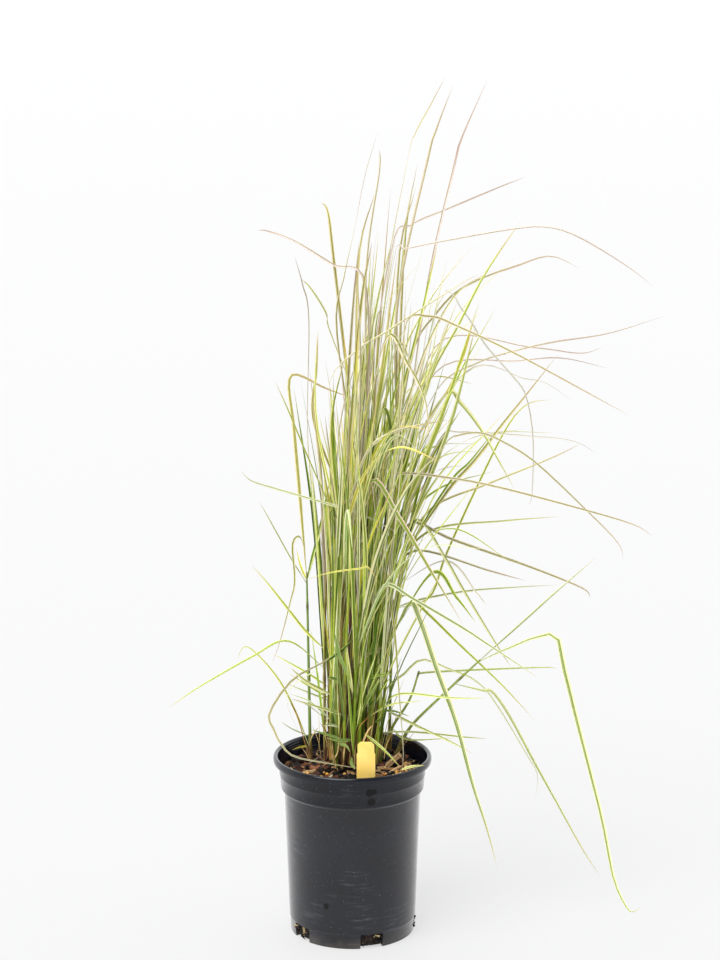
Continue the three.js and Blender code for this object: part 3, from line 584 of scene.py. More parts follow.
STRAY_LEAVES = [
    # Left of the crown, from the soil up
    [3.2, -30, [0, 40], [[-35, 282], [-67, 311], [-104, 294], [-160, 261], [-191, 239]], "lime"],
    [2.6, 30, [0, 90], [[-44, 190], [-60, 237], [-79, 274], [-108, 305], [-120, 291]], "lime"],
    [3, 60, [0, 30], [[-24, 257], [-52, 280], [-83, 298]], "lime"],
    [2.8, -42, [20, 60], [[-5, 311], [-30, 289], [-62, 270], [-86, 234], [-81, 215], [-75, 202], [-61, 187],
     [-24, 179], [12, 173], [40, 168]], "olive"],
    [2.4, 40, [0, 40], [[-31, 285], [-67, 255], [-54, 207]], "palegreen"],
    [2.6, -20, [0, 60], [[-18, 239], [-44, 262], [-66, 277]], "lime"],
    [2.6, 25, [0, 60], [[-18, 236], [-46, 256], [-71, 267]], "palegreen"],
    [2.4, 0, [0, 60], [[-20, 228], [-44, 246], [-66, 255]], "palegreen"],
    [2.2, -45, [0, 60], [[-22, 222], [-46, 242], [-65, 250]], "palegreen"],
    [2.2, 20, [0, 30], [[-48, 203], [-62, 216], [-75, 225]], "bluish"],
    [4, -70, [10, 40], [[61, 438], [8, 445], [-33, 458], [-80, 472], [-103, 480],
     [-114, 491]], "palegreen"],
    [4.2, -40, [20, 50], [[-49, 368], [-62, 396], [-80, 430], [-95, 459]], "lime"],
    [3.6, 10, [20, 50], [[-37, 302], [-47, 320], [-67, 346], [-85, 370], [-103, 392]], "lime"],
    [3.2, -30, [20, 60], [[-46, 366], [-49, 404], [-54, 421], [-61, 413], [-59, 376], [-64, 352],
     [-75, 310], [-84, 285]], "pinkedge"],
    [2.6, 40, [0, 40], [[-50, 372], [-53, 392], [-57, 409]], "yellow"],
    [4, 0, [0, 60], [[-44, 370], [-36, 412], [-28, 450]], "lime"],
    [4, 35, [0, 60], [[-44, 372], [-33, 430], [-22, 486]], "green"],
    [2.4, -70, [0, 80], [[-43, 375], [-20, 384], [8, 388], [17, 389], [30, 369]], "yellow"],
    [4, 30, [40, 70], [[-47, 379], [-53, 460], [-59, 534], [-62, 588], [-26, 575], [6, 563]], "gold"],
    [3.4, 10, [0, 50], [[-46, 381], [-45, 510], [-44, 644], [-50, 681], [-58, 711]], "pinkgold"],
    [3.8, -45, [0, 60], [[-7, 408], [-23, 451], [-47, 508], [-65, 553], [-78, 583]], "lime"],
    [3.4, 20, [0, 50], [[-33, 460], [-39, 542], [-36, 594], [-34, 635]], "gold"],
    [5, -30, [10, 60], [[-15, 560], [-22, 630], [-27, 652], [-42, 677], [-51, 686]], "palelime"],
    [3.4, -60, [0, 60], [[-45, 500], [-23, 575], [3, 612], [37, 634], [68, 655], [107, 680],
     [128, 692]], "pinkedge"],
    [4, 20, [0, 60], [[-8, 540], [-18, 699], [-24, 752], [-31, 763]], "gold"],
    [4, 0, [0, 60], [[-19, 520], [-15, 635], [-7, 690], [3, 736], [13, 788], [26, 834]], "gold"],
    [3.4, 60, [0, 60], [[28, 600], [13, 680], [-19, 700], [-58, 724], [-84, 734], [-95, 735]], "pink"],
    # Upright tips over the crown
    [5, -20, [0, 60], [[20, 540], [30, 660], [56, 805], [63, 830], [76, 855], [92, 886]], "gold"],
    [3.6, 20, [0, 60], [[33, 540], [46, 660], [75, 804], [84, 836], [100, 879]], "pinkgold"],
    [3.6, 0, [0, 60], [[56, 560], [76, 680], [101, 796], [109, 827], [135, 887]], "pink"],
    [3.4, 40, [0, 60], [[8, 520], [14, 690], [27, 793], [27, 816]], "faded"],
    [3, -30, [0, 60], [[26, 560], [32, 690], [39, 783]], "orange"],
    [3, 30, [0, 60], [[36, 560], [46, 700], [64, 780]], "olive"],
    [3, -10, [0, 60], [[14, 560], [20, 680], [27, 751]], "faded"],
    [3, 60, [0, 60], [[-4, 540], [6, 700], [24, 777]], "gold"],
    [2.8, 60, [0, 60], [[40, 600], [52, 720], [65, 803]], "gold"],
    # Arches to the upper right
    [3, 80, [0, 60], [[36, 600], [40, 715], [60, 740], [93, 755], [147, 778], [173, 788]], "pink"],
    [3, -40, [0, 50], [[28, 600], [42, 705], [55, 716], [108, 727], [160, 736], [194, 738], [226, 728],
     [276, 698], [304, 676]], "pink"],
    [3, -50, [0, 60], [[18, 560], [24, 636], [35, 662], [67, 702]], "lime"],
    [3.6, 20, [0, 60], [[40, 500], [62, 613], [84, 650], [105, 673], [133, 688], [164, 699], [198, 709],
     [229, 696]], "pinkgold"],
    [5.2, -60, [0, 70], [[40, 480], [79, 583], [107, 639], [133, 691], [167, 743]], "lime"],
    [5.4, -20, [0, 70], [[78, 480], [106, 591], [122, 644]], "yellow"],
    [4.6, -60, [20, 90], [[12, 500], [34, 624], [56, 600], [74, 563], [79, 512]], "pinkedge"],
    [4, -80, [20, 90], [[26, 520], [48, 620], [66, 573]], "pinkedge"],
    [3.2, -30, [0, 40], [[70, 520], [89, 578], [127, 601], [152, 610], [201, 622], [257, 631],
     [317, 650]], "pinkgold"],
    [3.6, -70, [10, 70], [[44, 560], [53, 634], [78, 648], [109, 637], [162, 612], [234, 573],
     [283, 546]], "pinkgold"],
    [2.6, 60, [0, 30], [[60, 560], [88, 622], [180, 617], [229, 611], [252, 617]], "pink"],
    [2.8, 20, [0, 30], [[66, 540], [88, 595], [166, 603], [211, 606], [261, 595]], "pink"],
    [2.6, 110, [0, 30], [[76, 520], [118, 594], [173, 585], [196, 580], [222, 563]], "faded"],
    [4, 40, [10, 50], [[58, 400], [99, 471], [125, 501], [153, 539], [176, 569], [208, 611]], "gold"],
    [3.6, -10, [10, 50], [[60, 400], [99, 477], [120, 500], [144, 532]], "green"],
    [3.2, 100, [0, 50], [[60, 330], [79, 357], [96, 402], [125, 469], [156, 534], [177, 559],
     [202, 564]], "lime"],
    [4.4, -90, [30, 80], [[70, 500], [95, 569], [110, 560], [131, 533], [149, 501],
     [166, 470]], "palelime"],
    [2.8, 0, [0, 60], [[60, 540], [88, 665], [112, 652], [134, 619], [162, 587], [175, 568], [183, 526],
     [183, 467], [179, 454]], "faded"],
    [3.2, -60, [0, 60], [[72, 460], [93, 516], [110, 527], [131, 529], [153, 520], [186, 499], [237, 451],
     [271, 416], [278, 397]], "pinkgold"],
    [2.6, 90, [0, 30], [[70, 440], [89, 522], [110, 530], [181, 526], [224, 521], [249, 508]], "faded"],
    [3, 50, [0, 40], [[60, 400], [81, 451], [139, 477], [201, 503], [233, 519]], "gold"],
    # Arches and hanging leaves to the middle and lower right
    [3.6, -50, [10, 60], [[20, 400], [30, 470], [48, 487], [97, 483], [150, 473], [236, 450], [288, 434],
     [307, 422]], "pinkgold"],
    [3.4, 70, [0, 40], [[56, 380], [81, 428], [155, 438], [214, 443]], "palelime"],
    [4, -20, [10, 60], [[46, 400], [61, 436], [101, 419], [179, 391], [235, 368], [245, 357]], "pinkgold"],
    [3, 30, [10, 60], [[50, 380], [69, 407], [140, 386], [179, 375]], "pinkgold"],
    [3.4, 120, [0, 40], [[48, 330], [70, 355], [117, 364], [164, 368], [211, 371]], "palegreen"],
    [4, -70, [20, 70], [[16, 300], [19, 343], [35, 371], [61, 357], [111, 327], [141, 307], [175, 284],
     [192, 272]], "palegreen"],
    [4.6, -110, [20, 80], [[36, 310], [82, 383], [108, 357], [128, 330]], "green"],
    [4.2, 40, [10, 70], [[56, 400], [67, 439], [94, 400], [115, 363], [148, 308], [165, 282]], "palelime"],
    [2.4, 0, [0, 50], [[62, 360], [96, 396], [127, 363], [139, 348]], "faded"],
    [5, -90, [20, 90], [[18, 400], [21, 480], [50, 439], [81, 386], [97, 359], [117, 324]], "widepink"],
    [3.6, -96, [20, 100], [[16, 400], [20, 475], [26, 438], [36, 376], [44, 320], [48, 265], [53, 197],
     [52, 168]], "widepink"],
    [6.4, -130, [20, 80], [[40, 300], [58, 350], [69, 335], [87, 282], [108, 223], [125, 159], [140, 111],
     [153, 62]], "pale"],
    [3.6, 10, [10, 60], [[40, 320], [54, 360], [79, 339], [108, 310], [155, 264], [190, 225]], "lime"],
    [3.6, 0, [0, 40], [[131, 284], [172, 328], [210, 364], [252, 402]], "palegreen"],
    [5.4, -40, [10, 70], [[131, 282], [154, 300], [206, 318], [218, 284], [232, 230], [244, 185],
     [262, 116], [275, 53], [288, 23], [296, 15], [306, 22]], "pale"],
    [4.4, 40, [10, 60], [[104, 252], [135, 258], [145, 256], [163, 230], [189, 181], [213, 137], [242, 84],
     [262, 53]], "palelime"],
    [3, 60, [0, 50], [[26, 218], [35, 259], [53, 275], [72, 291], [102, 280], [125, 270], [146, 248],
     [181, 189], [193, 166], [191, 141]], "palelime"],
    [3, 30, [0, 60], [[70, 262], [74, 277], [122, 280], [194, 283], [213, 282]], "palelime"],
    [3.2, -60, [0, 50], [[30, 240], [49, 254], [102, 250], [140, 250]], "lime"],
    [3, -40, [0, 50], [[14, 236], [41, 243], [73, 247]], "lime"],
    [3, -70, [0, 50], [[25, 232], [42, 236], [60, 230]], "bluish"],
    [3.4, -20, [0, 50], [[25, 236], [62, 222], [101, 203], [125, 190]], "palelime"],
    [2.8, 70, [0, 50], [[32, 214], [65, 213], [114, 208], [141, 206]], "palelime"],
    [2.4, 20, [0, 50], [[33, 206], [57, 205], [108, 207]], "lime"],
]

def blade_width(width, share):
    """Narrow at the root, full from a fifth of the way on, and then tapered to a point."""
    return width * np.minimum(1, ROOT_NARROWING + share / 0.28) * (1 - share**2.5)


def sample_line(line, radius_at):
    """Points every few millimetres along a line, with the radius there and if it is near the root."""
    places, shares = [], []
    for span in range(len(line) - 1):
        reach = math.dist(line[span], line[span + 1])
        pieces = math.ceil(reach / SAMPLE_STEP)
        parts = np.arange(pieces) / pieces
        places.append(line[span] + (line[span + 1] - line[span]) * parts[:, None])
        shares.append((span + parts) / (len(line) - 1))
    places = np.vstack([*places, line[-1:]])
    radii = radius_at(np.append(np.concatenate(shares), 1.0))
    near = np.sqrt(((places - line[0]) ** 2).sum(axis=1)) < OWN_REACH
    near[-1] = False
    rows = zip(places.tolist(), radii.tolist(), near.tolist())
    return [(*place, radius, near_root) for place, radius, near_root in rows]


def cell_of(x, y, z):
    return math.floor(x / CELL), math.floor(y / CELL), math.floor(z / CELL)


taken = {}


def claim(samples, owner):
    """Marks those points as taken, so that other leaves stay clear of them."""
    for x, y, z, radius, near_root in samples:
        taken.setdefault(cell_of(x, y, z), []).append((x, y, z, radius, near_root, owner))


def is_free(samples, owner):
    neighbours = [(i, j, k) for i in (-1, 0, 1) for j in (-1, 0, 1) for k in (-1, 0, 1)]
    for x, y, z, radius, near_root in samples:
        i, j, k = cell_of(x, y, z)
        for a, b, c in neighbours:
            for ox, oy, oz, other, other_near, other_owner in taken.get((i + a, j + b, k + c), ()):
                if other_owner == owner and (near_root or other_near):
                    continue
                room = (radius + other + LEAF_GAP) ** 2 + SAMPLE_STEP**2 / 2
                if (x - ox) ** 2 + (y - oy) ** 2 + (z - oz) ** 2 < room:
                    return False
    return True


def is_clear_of_pot(samples):
    """Above the mix inside the pot, above the lip over it, and above the ground outside."""
    for x, y, z, radius, _ in samples:
        out = math.hypot(x, y)
        if out + radius < MOUTH_RADIUS:
            lowest = soil_height(out) + CHIP_RISE + CHIP_CLEARANCE
        elif out - radius < RIM_RADIUS + 1:
            lowest = POT_HEIGHT + LIP_ROOM + radius
        else:
            lowest = GROUND_ROOM
        if z <= lowest:
            return False
    return True


def leaf_line(points):
    """The straight limbs that the CAD leaf is made of."""
    spans = len(points) - 1
    steps = spans * 2 if spans < 4 else spans
    return np.array([line_at(points, step / steps) for step in range(steps + 1)])


def try_leaf(stem, leaf):
    samples = sample_line(leaf_line(leaf["points"]), lambda share: blade_width(leaf["width"], share) / 2)
    if not is_clear_of_pot(samples) or not is_free(samples, stem["name"]):
        return False
    claim(samples, stem["name"])
    stem["leaves"].append(leaf)
    return True


def seen_from_eye(x, z, depth):
    """The seen place, carried along the line of sight to the depth given."""
    return (np.array([x, 0, z]) - EYE) * ((depth - EYE[1]) / -EYE[1]) + EYE


def seen_line(root, tip_depth, places):
    """From the root on through the seen places, with the depth carried evenly from root to tip."""
    points = [root]
    for number, (x, z) in enumerate(places[1:], 1):
        share = number / (len(places) - 1)
        points.append(seen_from_eye(x, z, root[1] + (tip_depth - root[1]) * share))
    return np.array(points)


def seen_gap(place, x, z):
    """How far a point is from a seen place, where height counts half."""
    return math.hypot(place[0] - x, 0.5 * (place[2] - z))


def place_stray(stems, width, depth, roll, places, tone):
    """On the first near stem, and with the first shift in depth, that leave it clear."""
    x, z = places[0]

    def away(stem):
        return seen_gap(stem_place(stem, z), x, z) + LEAF_CROWDING * len(stem["leaves"])

    for stem in sorted(stems, key=away)[:STEMS_TRIED]:
        root = stem_place(stem, z)
        for shift in DEPTH_SHIFTS:
            points = seen_line(root, depth + shift, places)
            if try_leaf(stem, {"points": points, "width": width, "roll": roll, "tone": tone}):
                return


def outward(azimuth):
    """The level direction in which a leaf leans, shorter to the left as the whole crown is."""
    right = math.cos(azimuth)
    return np.array([right * LEFT_SHARE if right < 0 else right, math.sin(azimuth), 0])


def unit(vector):
    return vector / math.sqrt(vector @ vector)


def rule_leaf(draws, stem, rank, ease):
    """A leaf of the crown: two ranks up the stem, steeper towards the top."""
    last = stem["blades"] - 1
    is_last = rank == last
    share = 0.96 if is_last else 0.4 + 0.5 * rank / last + draws.between(-0.05, 0.05)
    azimuth = stem["azimuth"] + math.pi * (rank % 2) + draws.between(-0.4, 0.4) * (1 + ease)
    lean = draws.between(0, 4) if is_last else draws.between(*LEAF_LEANS) + 6 * ease * draws.draw()
    length = draws.between(*LEAF_LENGTHS) * (1 - 0.35 * ease)
    arch = draws.between(0, 0.12) * (1 + ease)
    width = draws.between(*(LAST_LEAF_WIDTHS if is_last else LEAF_WIDTHS))
    root = line_at(stem["points"], share)
    ahead = line_at(stem["points"], min(1, share + 0.04)) - line_at(stem["points"], share - 0.04)
    out = outward(azimuth)
    start = unit(unit(ahead) + out * math.tan(math.radians(lean)))
    tip = root + start * length + out * (length * arch) - np.array([0, 0, length * arch * 0.6])
    turn = draws.between(-70, 70)
    points = np.array([root, root + start * (length * 0.52), tip])
    return {"points": points, "width": width, "roll": (draws.between(-10, 10), turn), "tone": None}


def arch_leaf(draws, stem, towards):
    """A long leaf that arches towards the back or the front."""
    azimuth = towards - math.copysign(1, towards) * draws.between(-0.2, 0.85)
    lean = math.radians(draws.between(*ARCH_LEANS))
    length = draws.between(*ARCH_LENGTHS)
    droop = draws.between(0.15, 0.7)
    root = line_at(stem["points"], draws.between(0.6, 0.94))
    out = outward(azimuth)
    start = unit(np.array([0, 0, 1]) + out * math.tan(lean))
    points = [
        root + start * (length * part) + out * (length * 0.35 * part**2)
        - np.array([0, 0, length * droop * part**2.2])
        for part in (0, 0.34, 0.67, 1)
    ]
    width = draws.between(*ARCH_WIDTHS)
    return {"points": np.array(points), "width": width, "roll": (0, draws.between(-60, 60)), "tone": None}


def claim_tag():
    heights = range(SOIL_EDGE, TAG_TOP + 1, SAMPLE_STEP)
    x = -TAG_WIDTH / 2
    while x <= TAG_WIDTH / 2:
        claim([(TAG_PLACE[0] + x, TAG_PLACE[1], z, TAG_ROOM, False) for z in heights], "tag")
        x += SAMPLE_STEP


stems = grown_stems()
for stem in stems:
    line = np.array([line_at(stem["points"], step / STEM_STEPS) for step in range(STEM_STEPS + 1)])
    claim([(*sample[:4], True) for sample in sample_line(line, stem_radius)], stem["name"])
claim_tag()
for stray in STRAY_LEAVES:
    place_stray(stems, *stray)
for number, stem in enumerate(stems):
    draws = Draws(LEAF_SEED + number)
    for rank in range(stem["blades"]):
        for attempt in range(LEAF_TRIES):
            if try_leaf(stem, rule_leaf(draws, stem, rank, attempt / LEAF_TRIES)):
                break
for number in range(ARCH_COUNT):
    draws = Draws(ARCH_SEED + number)
    towards = math.pi / 2 * (-1 if number % 3 == 0 else 1)
    for attempt in range(ARCH_TRIES):
        stem = stems[math.floor(draws.draw() * SHOOT_COUNT)]
        if try_leaf(stem, arch_leaf(draws, stem, towards)):
            break


# Straw and blade: the two shapes that every leafy stem is made of, each modelled once. The straw is a
# tube with swollen joints. The blade is a thin keeled strip that ends in a point.
STRAW_RINGS = 36
STRAW_SIDES = 10
LONG_STEPS = 26
LEAF_STEPS = 9
SHRED_STEPS = 6
CHANNEL = 0.25
BLADE_THICKNESS = 0.15
CLASP = 58
CLASP_SHARE = 0.16
JOINT_SPACING = 78
JOINT_SWELL = 0.28
JOINT_REACH = 5
JOINT_SHADE_REACH = 2.5


def blade_master(steps):
    """A blade 2 wide and 1 long, lying along Y, with a channel on top and a point at the tip."""
    deselect_all()
    bpy.ops.mesh.primitive_grid_add(x_subdivisions=2, y_subdivisions=steps, size=1)
    blade = bpy.context.object
    blade.name = f"blade_of_{steps}"
    blade.data.transform(Matrix.Translation((0, 0.5, 0)) @ Matrix.Diagonal((2, 1, 1, 1)))
    for vertex in blade.data.vertices:
        vertex.select = abs(vertex.co.x) < 0.01
    bpy.ops.object.mode_set(mode="EDIT")
    bpy.ops.transform.translate(value=(0, 0, -CHANNEL))
    bpy.ops.object.mode_set(mode="OBJECT")
    finish_with(blade, "SOLIDIFY", thickness=BLADE_THICKNESS, offset=-1)
    bpy.ops.object.mode_set(mode="EDIT")
    bpy.ops.mesh.select_mode(type="VERT")
    bpy.ops.mesh.select_all(action="DESELECT")
    bpy.ops.object.mode_set(mode="OBJECT")
    for vertex in blade.data.vertices:
        vertex.select = vertex.co.y > 1 - 0.5 / steps
    bpy.ops.object.mode_set(mode="EDIT")
    bpy.ops.mesh.merge(type="CENTER")
    bpy.ops.mesh.select_all(action="SELECT")
    bpy.ops.mesh.normals_make_consistent(inside=False)
    bpy.ops.object.mode_set(mode="OBJECT")
    smoothed(blade, 24)
    return blade


def straw_master():
    """A straw 1 in radius and 1 long, standing on the origin, closed at both ends."""
    outline = [(1 / MM, step / STRAW_RINGS / MM) for step in range(STRAW_RINGS + 1)]
    straw = turned("straw_master", outline, STRAW_SIDES)
    smoothed(straw, 60)
    return straw


def copied(master):
    piece = master.copy()
    piece.data = master.data.copy()
    bpy.context.collection.objects.link(piece)
    return piece


def joined(pieces, name):
    """One object from many, with its origin at the frame's."""
    deselect_all()
    for piece in pieces:
        piece.select_set(True)
    bpy.context.view_layer.objects.active = pieces[0]
    bpy.ops.object.join()
    whole = bpy.context.object
    whole.name = name
    whole.data.name = name
    return whole


def tint(piece, name, colours):
    """A colour for each point, or one for them all."""
    count = len(piece.data.vertices)
    values = np.broadcast_to(np.asarray(colours, dtype=np.float32), (count, 4))
    layer = piece.data.attributes.new(name, "FLOAT_COLOR", "POINT")
    layer.data.foreach_set("color", np.ascontiguousarray(values).ravel())


def points_of(piece):
    places = np.empty(len(piece.data.vertices) * 3, np.float32)
    piece.data.vertices.foreach_get("co", places)
    return places.reshape(-1, 3).astype(float)


def set_points(piece, places):
    piece.data.vertices.foreach_set("co", np.asarray(places, np.float32).ravel())
    piece.data.update()


def frames_along(points, shares, across, roll):
    """Centres on a line, with the blade's side and face there, for many shares of its length at once."""
    step = 1e-3
    centres = np.array([line_at(points, share) for share in shares])
    ahead = np.array([line_at(points, min(1, share + step)) for share in shares])
    behind = np.array([line_at(points, max(0, share - step)) for share in shares])
    tangent = ahead - behind
    tangent /= np.linalg.norm(tangent, axis=1)[:, None]
    side = across - tangent * (tangent @ across)[:, None]
    side /= np.linalg.norm(side, axis=1)[:, None]
    turn = np.radians(roll[0] + (roll[1] - roll[0]) * shares)[:, None]
    face = np.cross(side, tangent)
    rolled = side * np.cos(turn) - face * np.sin(turn)
    return centres, rolled, np.cross(rolled, tangent)


def bent_blade(master, points, width, roll):
    """A copy of the blade, bent along a line. It clasps the stem at its root and opens further up."""
    blade = copied(master)
    flat = points_of(master)
    shares, row = np.unique(np.round(flat[:, 1], 4), return_inverse=True)
    reach = points[-1] - points[0]
    across = unit(np.array([-reach[1], reach[0], 0.0]))
    centres, side, face = frames_along(points, shares, across, roll)
    half = blade_width(width, shares) / 2
    clasp = np.radians(CLASP) * np.clip(1 - shares / CLASP_SHARE, 0, 1) ** 2
    out = flat[:, 0] * half[row]
    lift = np.abs(out) * np.sin(clasp[row]) + flat[:, 2] * (0.35 + half[row])
    places = centres[row] + side[row] * (out * np.cos(clasp[row]))[:, None] + face[row] * lift[:, None]
    set_points(blade, places * MM)
    return blade


def bent_straw(master, points):
    """A copy of the straw, bent along a stem's line, with its foot sunk in the mix and its joints swollen."""
    straw = copied(master)
    flat = points_of(master)
    rings = np.round(flat[:, 2] * STRAW_RINGS).astype(int)
    shares = np.clip((np.arange(STRAW_RINGS + 1) - 1) / (STRAW_RINGS - 1), 0, 1)
    centres, side, face = frames_along(points, shares, np.array([1.0, 0, 0]), (0, 0))
    height = centres[:, 2] - centres[0, 2]
    centres[0, 2] -= STEM_SUNK
    from_joint = np.abs((height / JOINT_SPACING + 0.35) % 1 - 0.5) * JOINT_SPACING
    radius = (STEM_RADIUS + (STEM_TOP_RADIUS - STEM_RADIUS) * shares) * (
        0.93 + JOINT_SWELL * np.exp(-((from_joint / JOINT_REACH) ** 2))
    )
    ring = radius[rings][:, None] * (side[rings] * flat[:, :1] + face[rings] * flat[:, 1:2])
    set_points(straw, (centres[rings] + ring) * MM)
    turns = np.arctan2(flat[:, 1], flat[:, 0]) / (2 * math.pi)
    column = np.round(turns * STRAW_SIDES).astype(int) % STRAW_SIDES
    return straw, shares[rings], from_joint[rings], column


# Tones: body, pale margin and tip of a blade as seen, with the share of the width that is pale and of the
# length that has turned. Each leaf's own shade of its tone and its painted light ride on its points.
TONES = {
    "lime": ((164, 186, 44), (246, 242, 166), 0.4, (214, 190, 110), 0.12),
    "green": ((114, 148, 28), (220, 224, 130), 0.3, (180, 170, 84), 0.08),
    "deep": ((54, 82, 12), (146, 164, 70), 0.2, (136, 142, 60), 0.05),
    "bluish": ((136, 160, 78), (172, 188, 106), 0.1, (190, 190, 126), 0.1),
    "yellow": ((200, 196, 48), (248, 238, 138), 0.42, (220, 186, 106), 0.2),
    "cream": ((124, 154, 40), (255, 248, 200), 0.52, (224, 206, 148), 0.15),
    "pale": ((140, 166, 90), (248, 244, 190), 0.45, (214, 204, 152), 0.1),
    "palelime": ((164, 182, 92), (242, 238, 186), 0.45, (208, 194, 140), 0.15),
    "palegreen": ((150, 168, 102), (234, 234, 196), 0.5, (208, 202, 160), 0.12),
    "faded": ((174, 172, 136), (230, 222, 212), 0.5, (198, 184, 168), 0.2),
    "widegreen": ((114, 152, 32), (250, 242, 166), 0.38, (208, 188, 118), 0.1),
    "olive": ((146, 146, 80), (222, 212, 178), 0.45, (186, 166, 126), 0.3),
    "pinkedge": ((136, 156, 50), (246, 226, 200), 0.42, (206, 186, 156), 0.18),
    "widepink": ((146, 168, 62), (244, 210, 200), 0.38, (216, 192, 174), 0.15),
    "pink": ((152, 142, 112), (222, 204, 198), 0.52, (176, 152, 144), 0.35),
    "pinkgold": ((154, 150, 92), (220, 205, 186), 0.48, (182, 160, 140), 0.32),
    "gold": ((164, 164, 78), (230, 216, 170), 0.45, (190, 168, 126), 0.28),
    "orange": ((176, 152, 88), (220, 192, 142), 0.5, (186, 148, 106), 0.4),
    "purple": ((124, 56, 66), (146, 88, 90), 0.25, (104, 60, 58), 0.1),
    "dead": ((228, 176, 98), (248, 216, 150), 0.4, (186, 130, 74), 0.25),
    "amber": ((222, 148, 64), (244, 194, 112), 0.35, (172, 104, 54), 0.3),
    "dry": ((134, 90, 56), (196, 154, 100), 0.3, (108, 72, 46), 0.4),
}
LOW_TONES = (
    ["green"] * 6 + ["lime"] * 5 + ["deep"] * 4 + ["cream"] * 3 + ["widegreen"] * 3 + ["bluish"] * 2
    + ["pinkedge", "yellow"]
)
HIGH_TONES = (
    ["lime"] * 7 + ["yellow"] * 4 + ["cream"] * 7 + ["green"] * 4 + ["gold"] * 2 + ["pale"] + ["pinkedge"] * 3
    + ["pinkgold", "pink", "palegreen"] + ["widegreen"] * 2 + ["deep"]
)
TONE_CHANGE = 330
# Painted shade: leaves that stand in the open are darkened by this much
OPEN_PAINTED_SHADE = 0.82
shades = random.Random(5)


def shade_of(colour, change):
    return np.append(np.clip(np.array(paint(*colour)[:3]) * change, 0, 1), 1.0)


def tint_blade(blade, tone, height):
    """A random shade of a tone with painted light, brighter low in the crown where its dense middle is in
    shade, and painted shade, deeper where it stands in the open; and a number that shifts its stripes.
    """
    if tone is None:
        tone = shades.choice(LOW_TONES if height + shades.gauss(0, 50) < TONE_CHANGE else HIGH_TONES)
        # Painted light: a random shade, raised low in the crown where its dense middle is in shade, lowered
        # higher up
        painted_light = shades.uniform(0.52, 1.38) * (1.12 - 0.3 * min(1, max(0, (height - TONE_CHANGE) / 260)))
    else:
        # Painted shade for a leaf that stands in the open
        painted_light = shades.uniform(0.9, 1.08) * OPEN_PAINTED_SHADE
    body, margin, pale, tip, turned_share = TONES[tone]
    warm = shades.uniform(-0.08, 0.08)
    body_colour = shade_of(body, np.array([painted_light + warm, painted_light, painted_light - warm]))
    # The margin and tip follow the painted light, the margin only in part
    margin_colour = shade_of(margin, (0.58 + 0.42 * min(1, painted_light)) * shades.uniform(0.94, 1.06))
    tip_colour = shade_of(tip, min(1, painted_light) * shades.uniform(0.85, 1.1))
    body_colour[3] = shades.random()
    margin_colour[3] = min(0.9, max(0.05, pale + shades.uniform(-0.12, 0.14)))
    tip_colour[3] = min(0.9, turned_share * shades.uniform(0.6, 1.3))
    tint(blade, "leaf_body", body_colour)
    tint(blade, "leaf_margin", margin_colour)
    tint(blade, "leaf_tip", tip_colour)


def variegated_leaf():
    """A green blade with cream or pink margins and stripes along it, veins, and a tip that has turned."""
    finish = Finish("variegated_leaf", 0.48)
    uv = finish.node("SeparateXYZ", {"Vector": finish.node("UVMap").outputs["UV"]})
    across, along = uv.outputs["X"], uv.outputs["Y"]
    body = finish.attribute("leaf_body")
    margin = finish.attribute("leaf_margin")
    tip = finish.attribute("leaf_tip")
    shift = finish.calc("MULTIPLY", body.outputs["Alpha"], 60.0)

    def stripes(wide, long, start):
        """Noise drawn out along the blade, that many stripes wide."""
        inputs = {
            "X": finish.calc("MULTIPLY", across, wide),
            "Y": finish.calc("MULTIPLY", along, long),
            "Z": finish.calc("ADD", shift, start),
        }
        return finish.cloud(finish.node("CombineXYZ", inputs).outputs["Vector"], 1.0, 2, 0.4)

    chance = finish.node("TexWhiteNoise", {"W": shift}, noise_dimensions="1D").outputs["Value"]
    offset = finish.calc("MULTIPLY_ADD", chance, 0.5, -0.75)
    from_middle = finish.calc("ABSOLUTE", finish.calc("ADD", across, offset))
    waver = finish.calc("MULTIPLY_ADD", stripes(3, 2.5, 0.0), 0.5, -0.25)
    edge = finish.calc("MULTIPLY_ADD", from_middle, 2.0, waver)
    pale_from = finish.calc("SUBTRACT", 1.0, margin.outputs["Alpha"])
    pale = finish.ease(finish.calc("SUBTRACT", edge, pale_from), -0.05, 0.05)
    share = finish.calc("MULTIPLY_ADD", margin.outputs["Alpha"], 0.3, -0.1)
    inner = finish.calc("ADD", stripes(9, 1.5, 9.0), share)
    pale = finish.calc("MAXIMUM", pale, finish.ease(inner, 0.62, 0.7, 0, 0.5))
    veins = stripes(24, 2, 20.0)
    green = finish.mix(finish.ease(veins, 0.35, 0.65, 0.24, 0), body.outputs["Color"], (0.01, 0.03, 0.01, 1))
    colour = finish.mix(pale, green, margin.outputs["Color"])
    turned_from = finish.calc("SUBTRACT", 1.0, tip.outputs["Alpha"])
    reach = finish.calc("MULTIPLY_ADD", stripes(5, 3, 31.0), 0.3, finish.calc("ADD", along, -0.15))
    turned_share = finish.ease(finish.calc("SUBTRACT", reach, turned_from), -0.12, 0.1)
    colour = finish.mix(turned_share, colour, tip.outputs["Color"])
    spots = finish.cloud(finish.stretched(finish.place(), (1, 1, 0.4)), 240, 2)
    colour = finish.mix(finish.ease(spots, 0.74, 0.78, 0, 0.7), colour, paint(110, 74, 50))
    finish.into("Base Color", colour)
    finish.into("Roughness", finish.ease(veins, 0.3, 0.7, 0.46, 0.62))
    finish.into("Specular IOR Level", 0.28)
    finish.into("Subsurface Weight", 0.35)
    finish.into("Subsurface Radius", (1, 1, 0.5))
    finish.into("Subsurface Scale", 1.2 * MM)
    finish.bump(veins, 0.12 * MM, 0.5)
    return finish.material


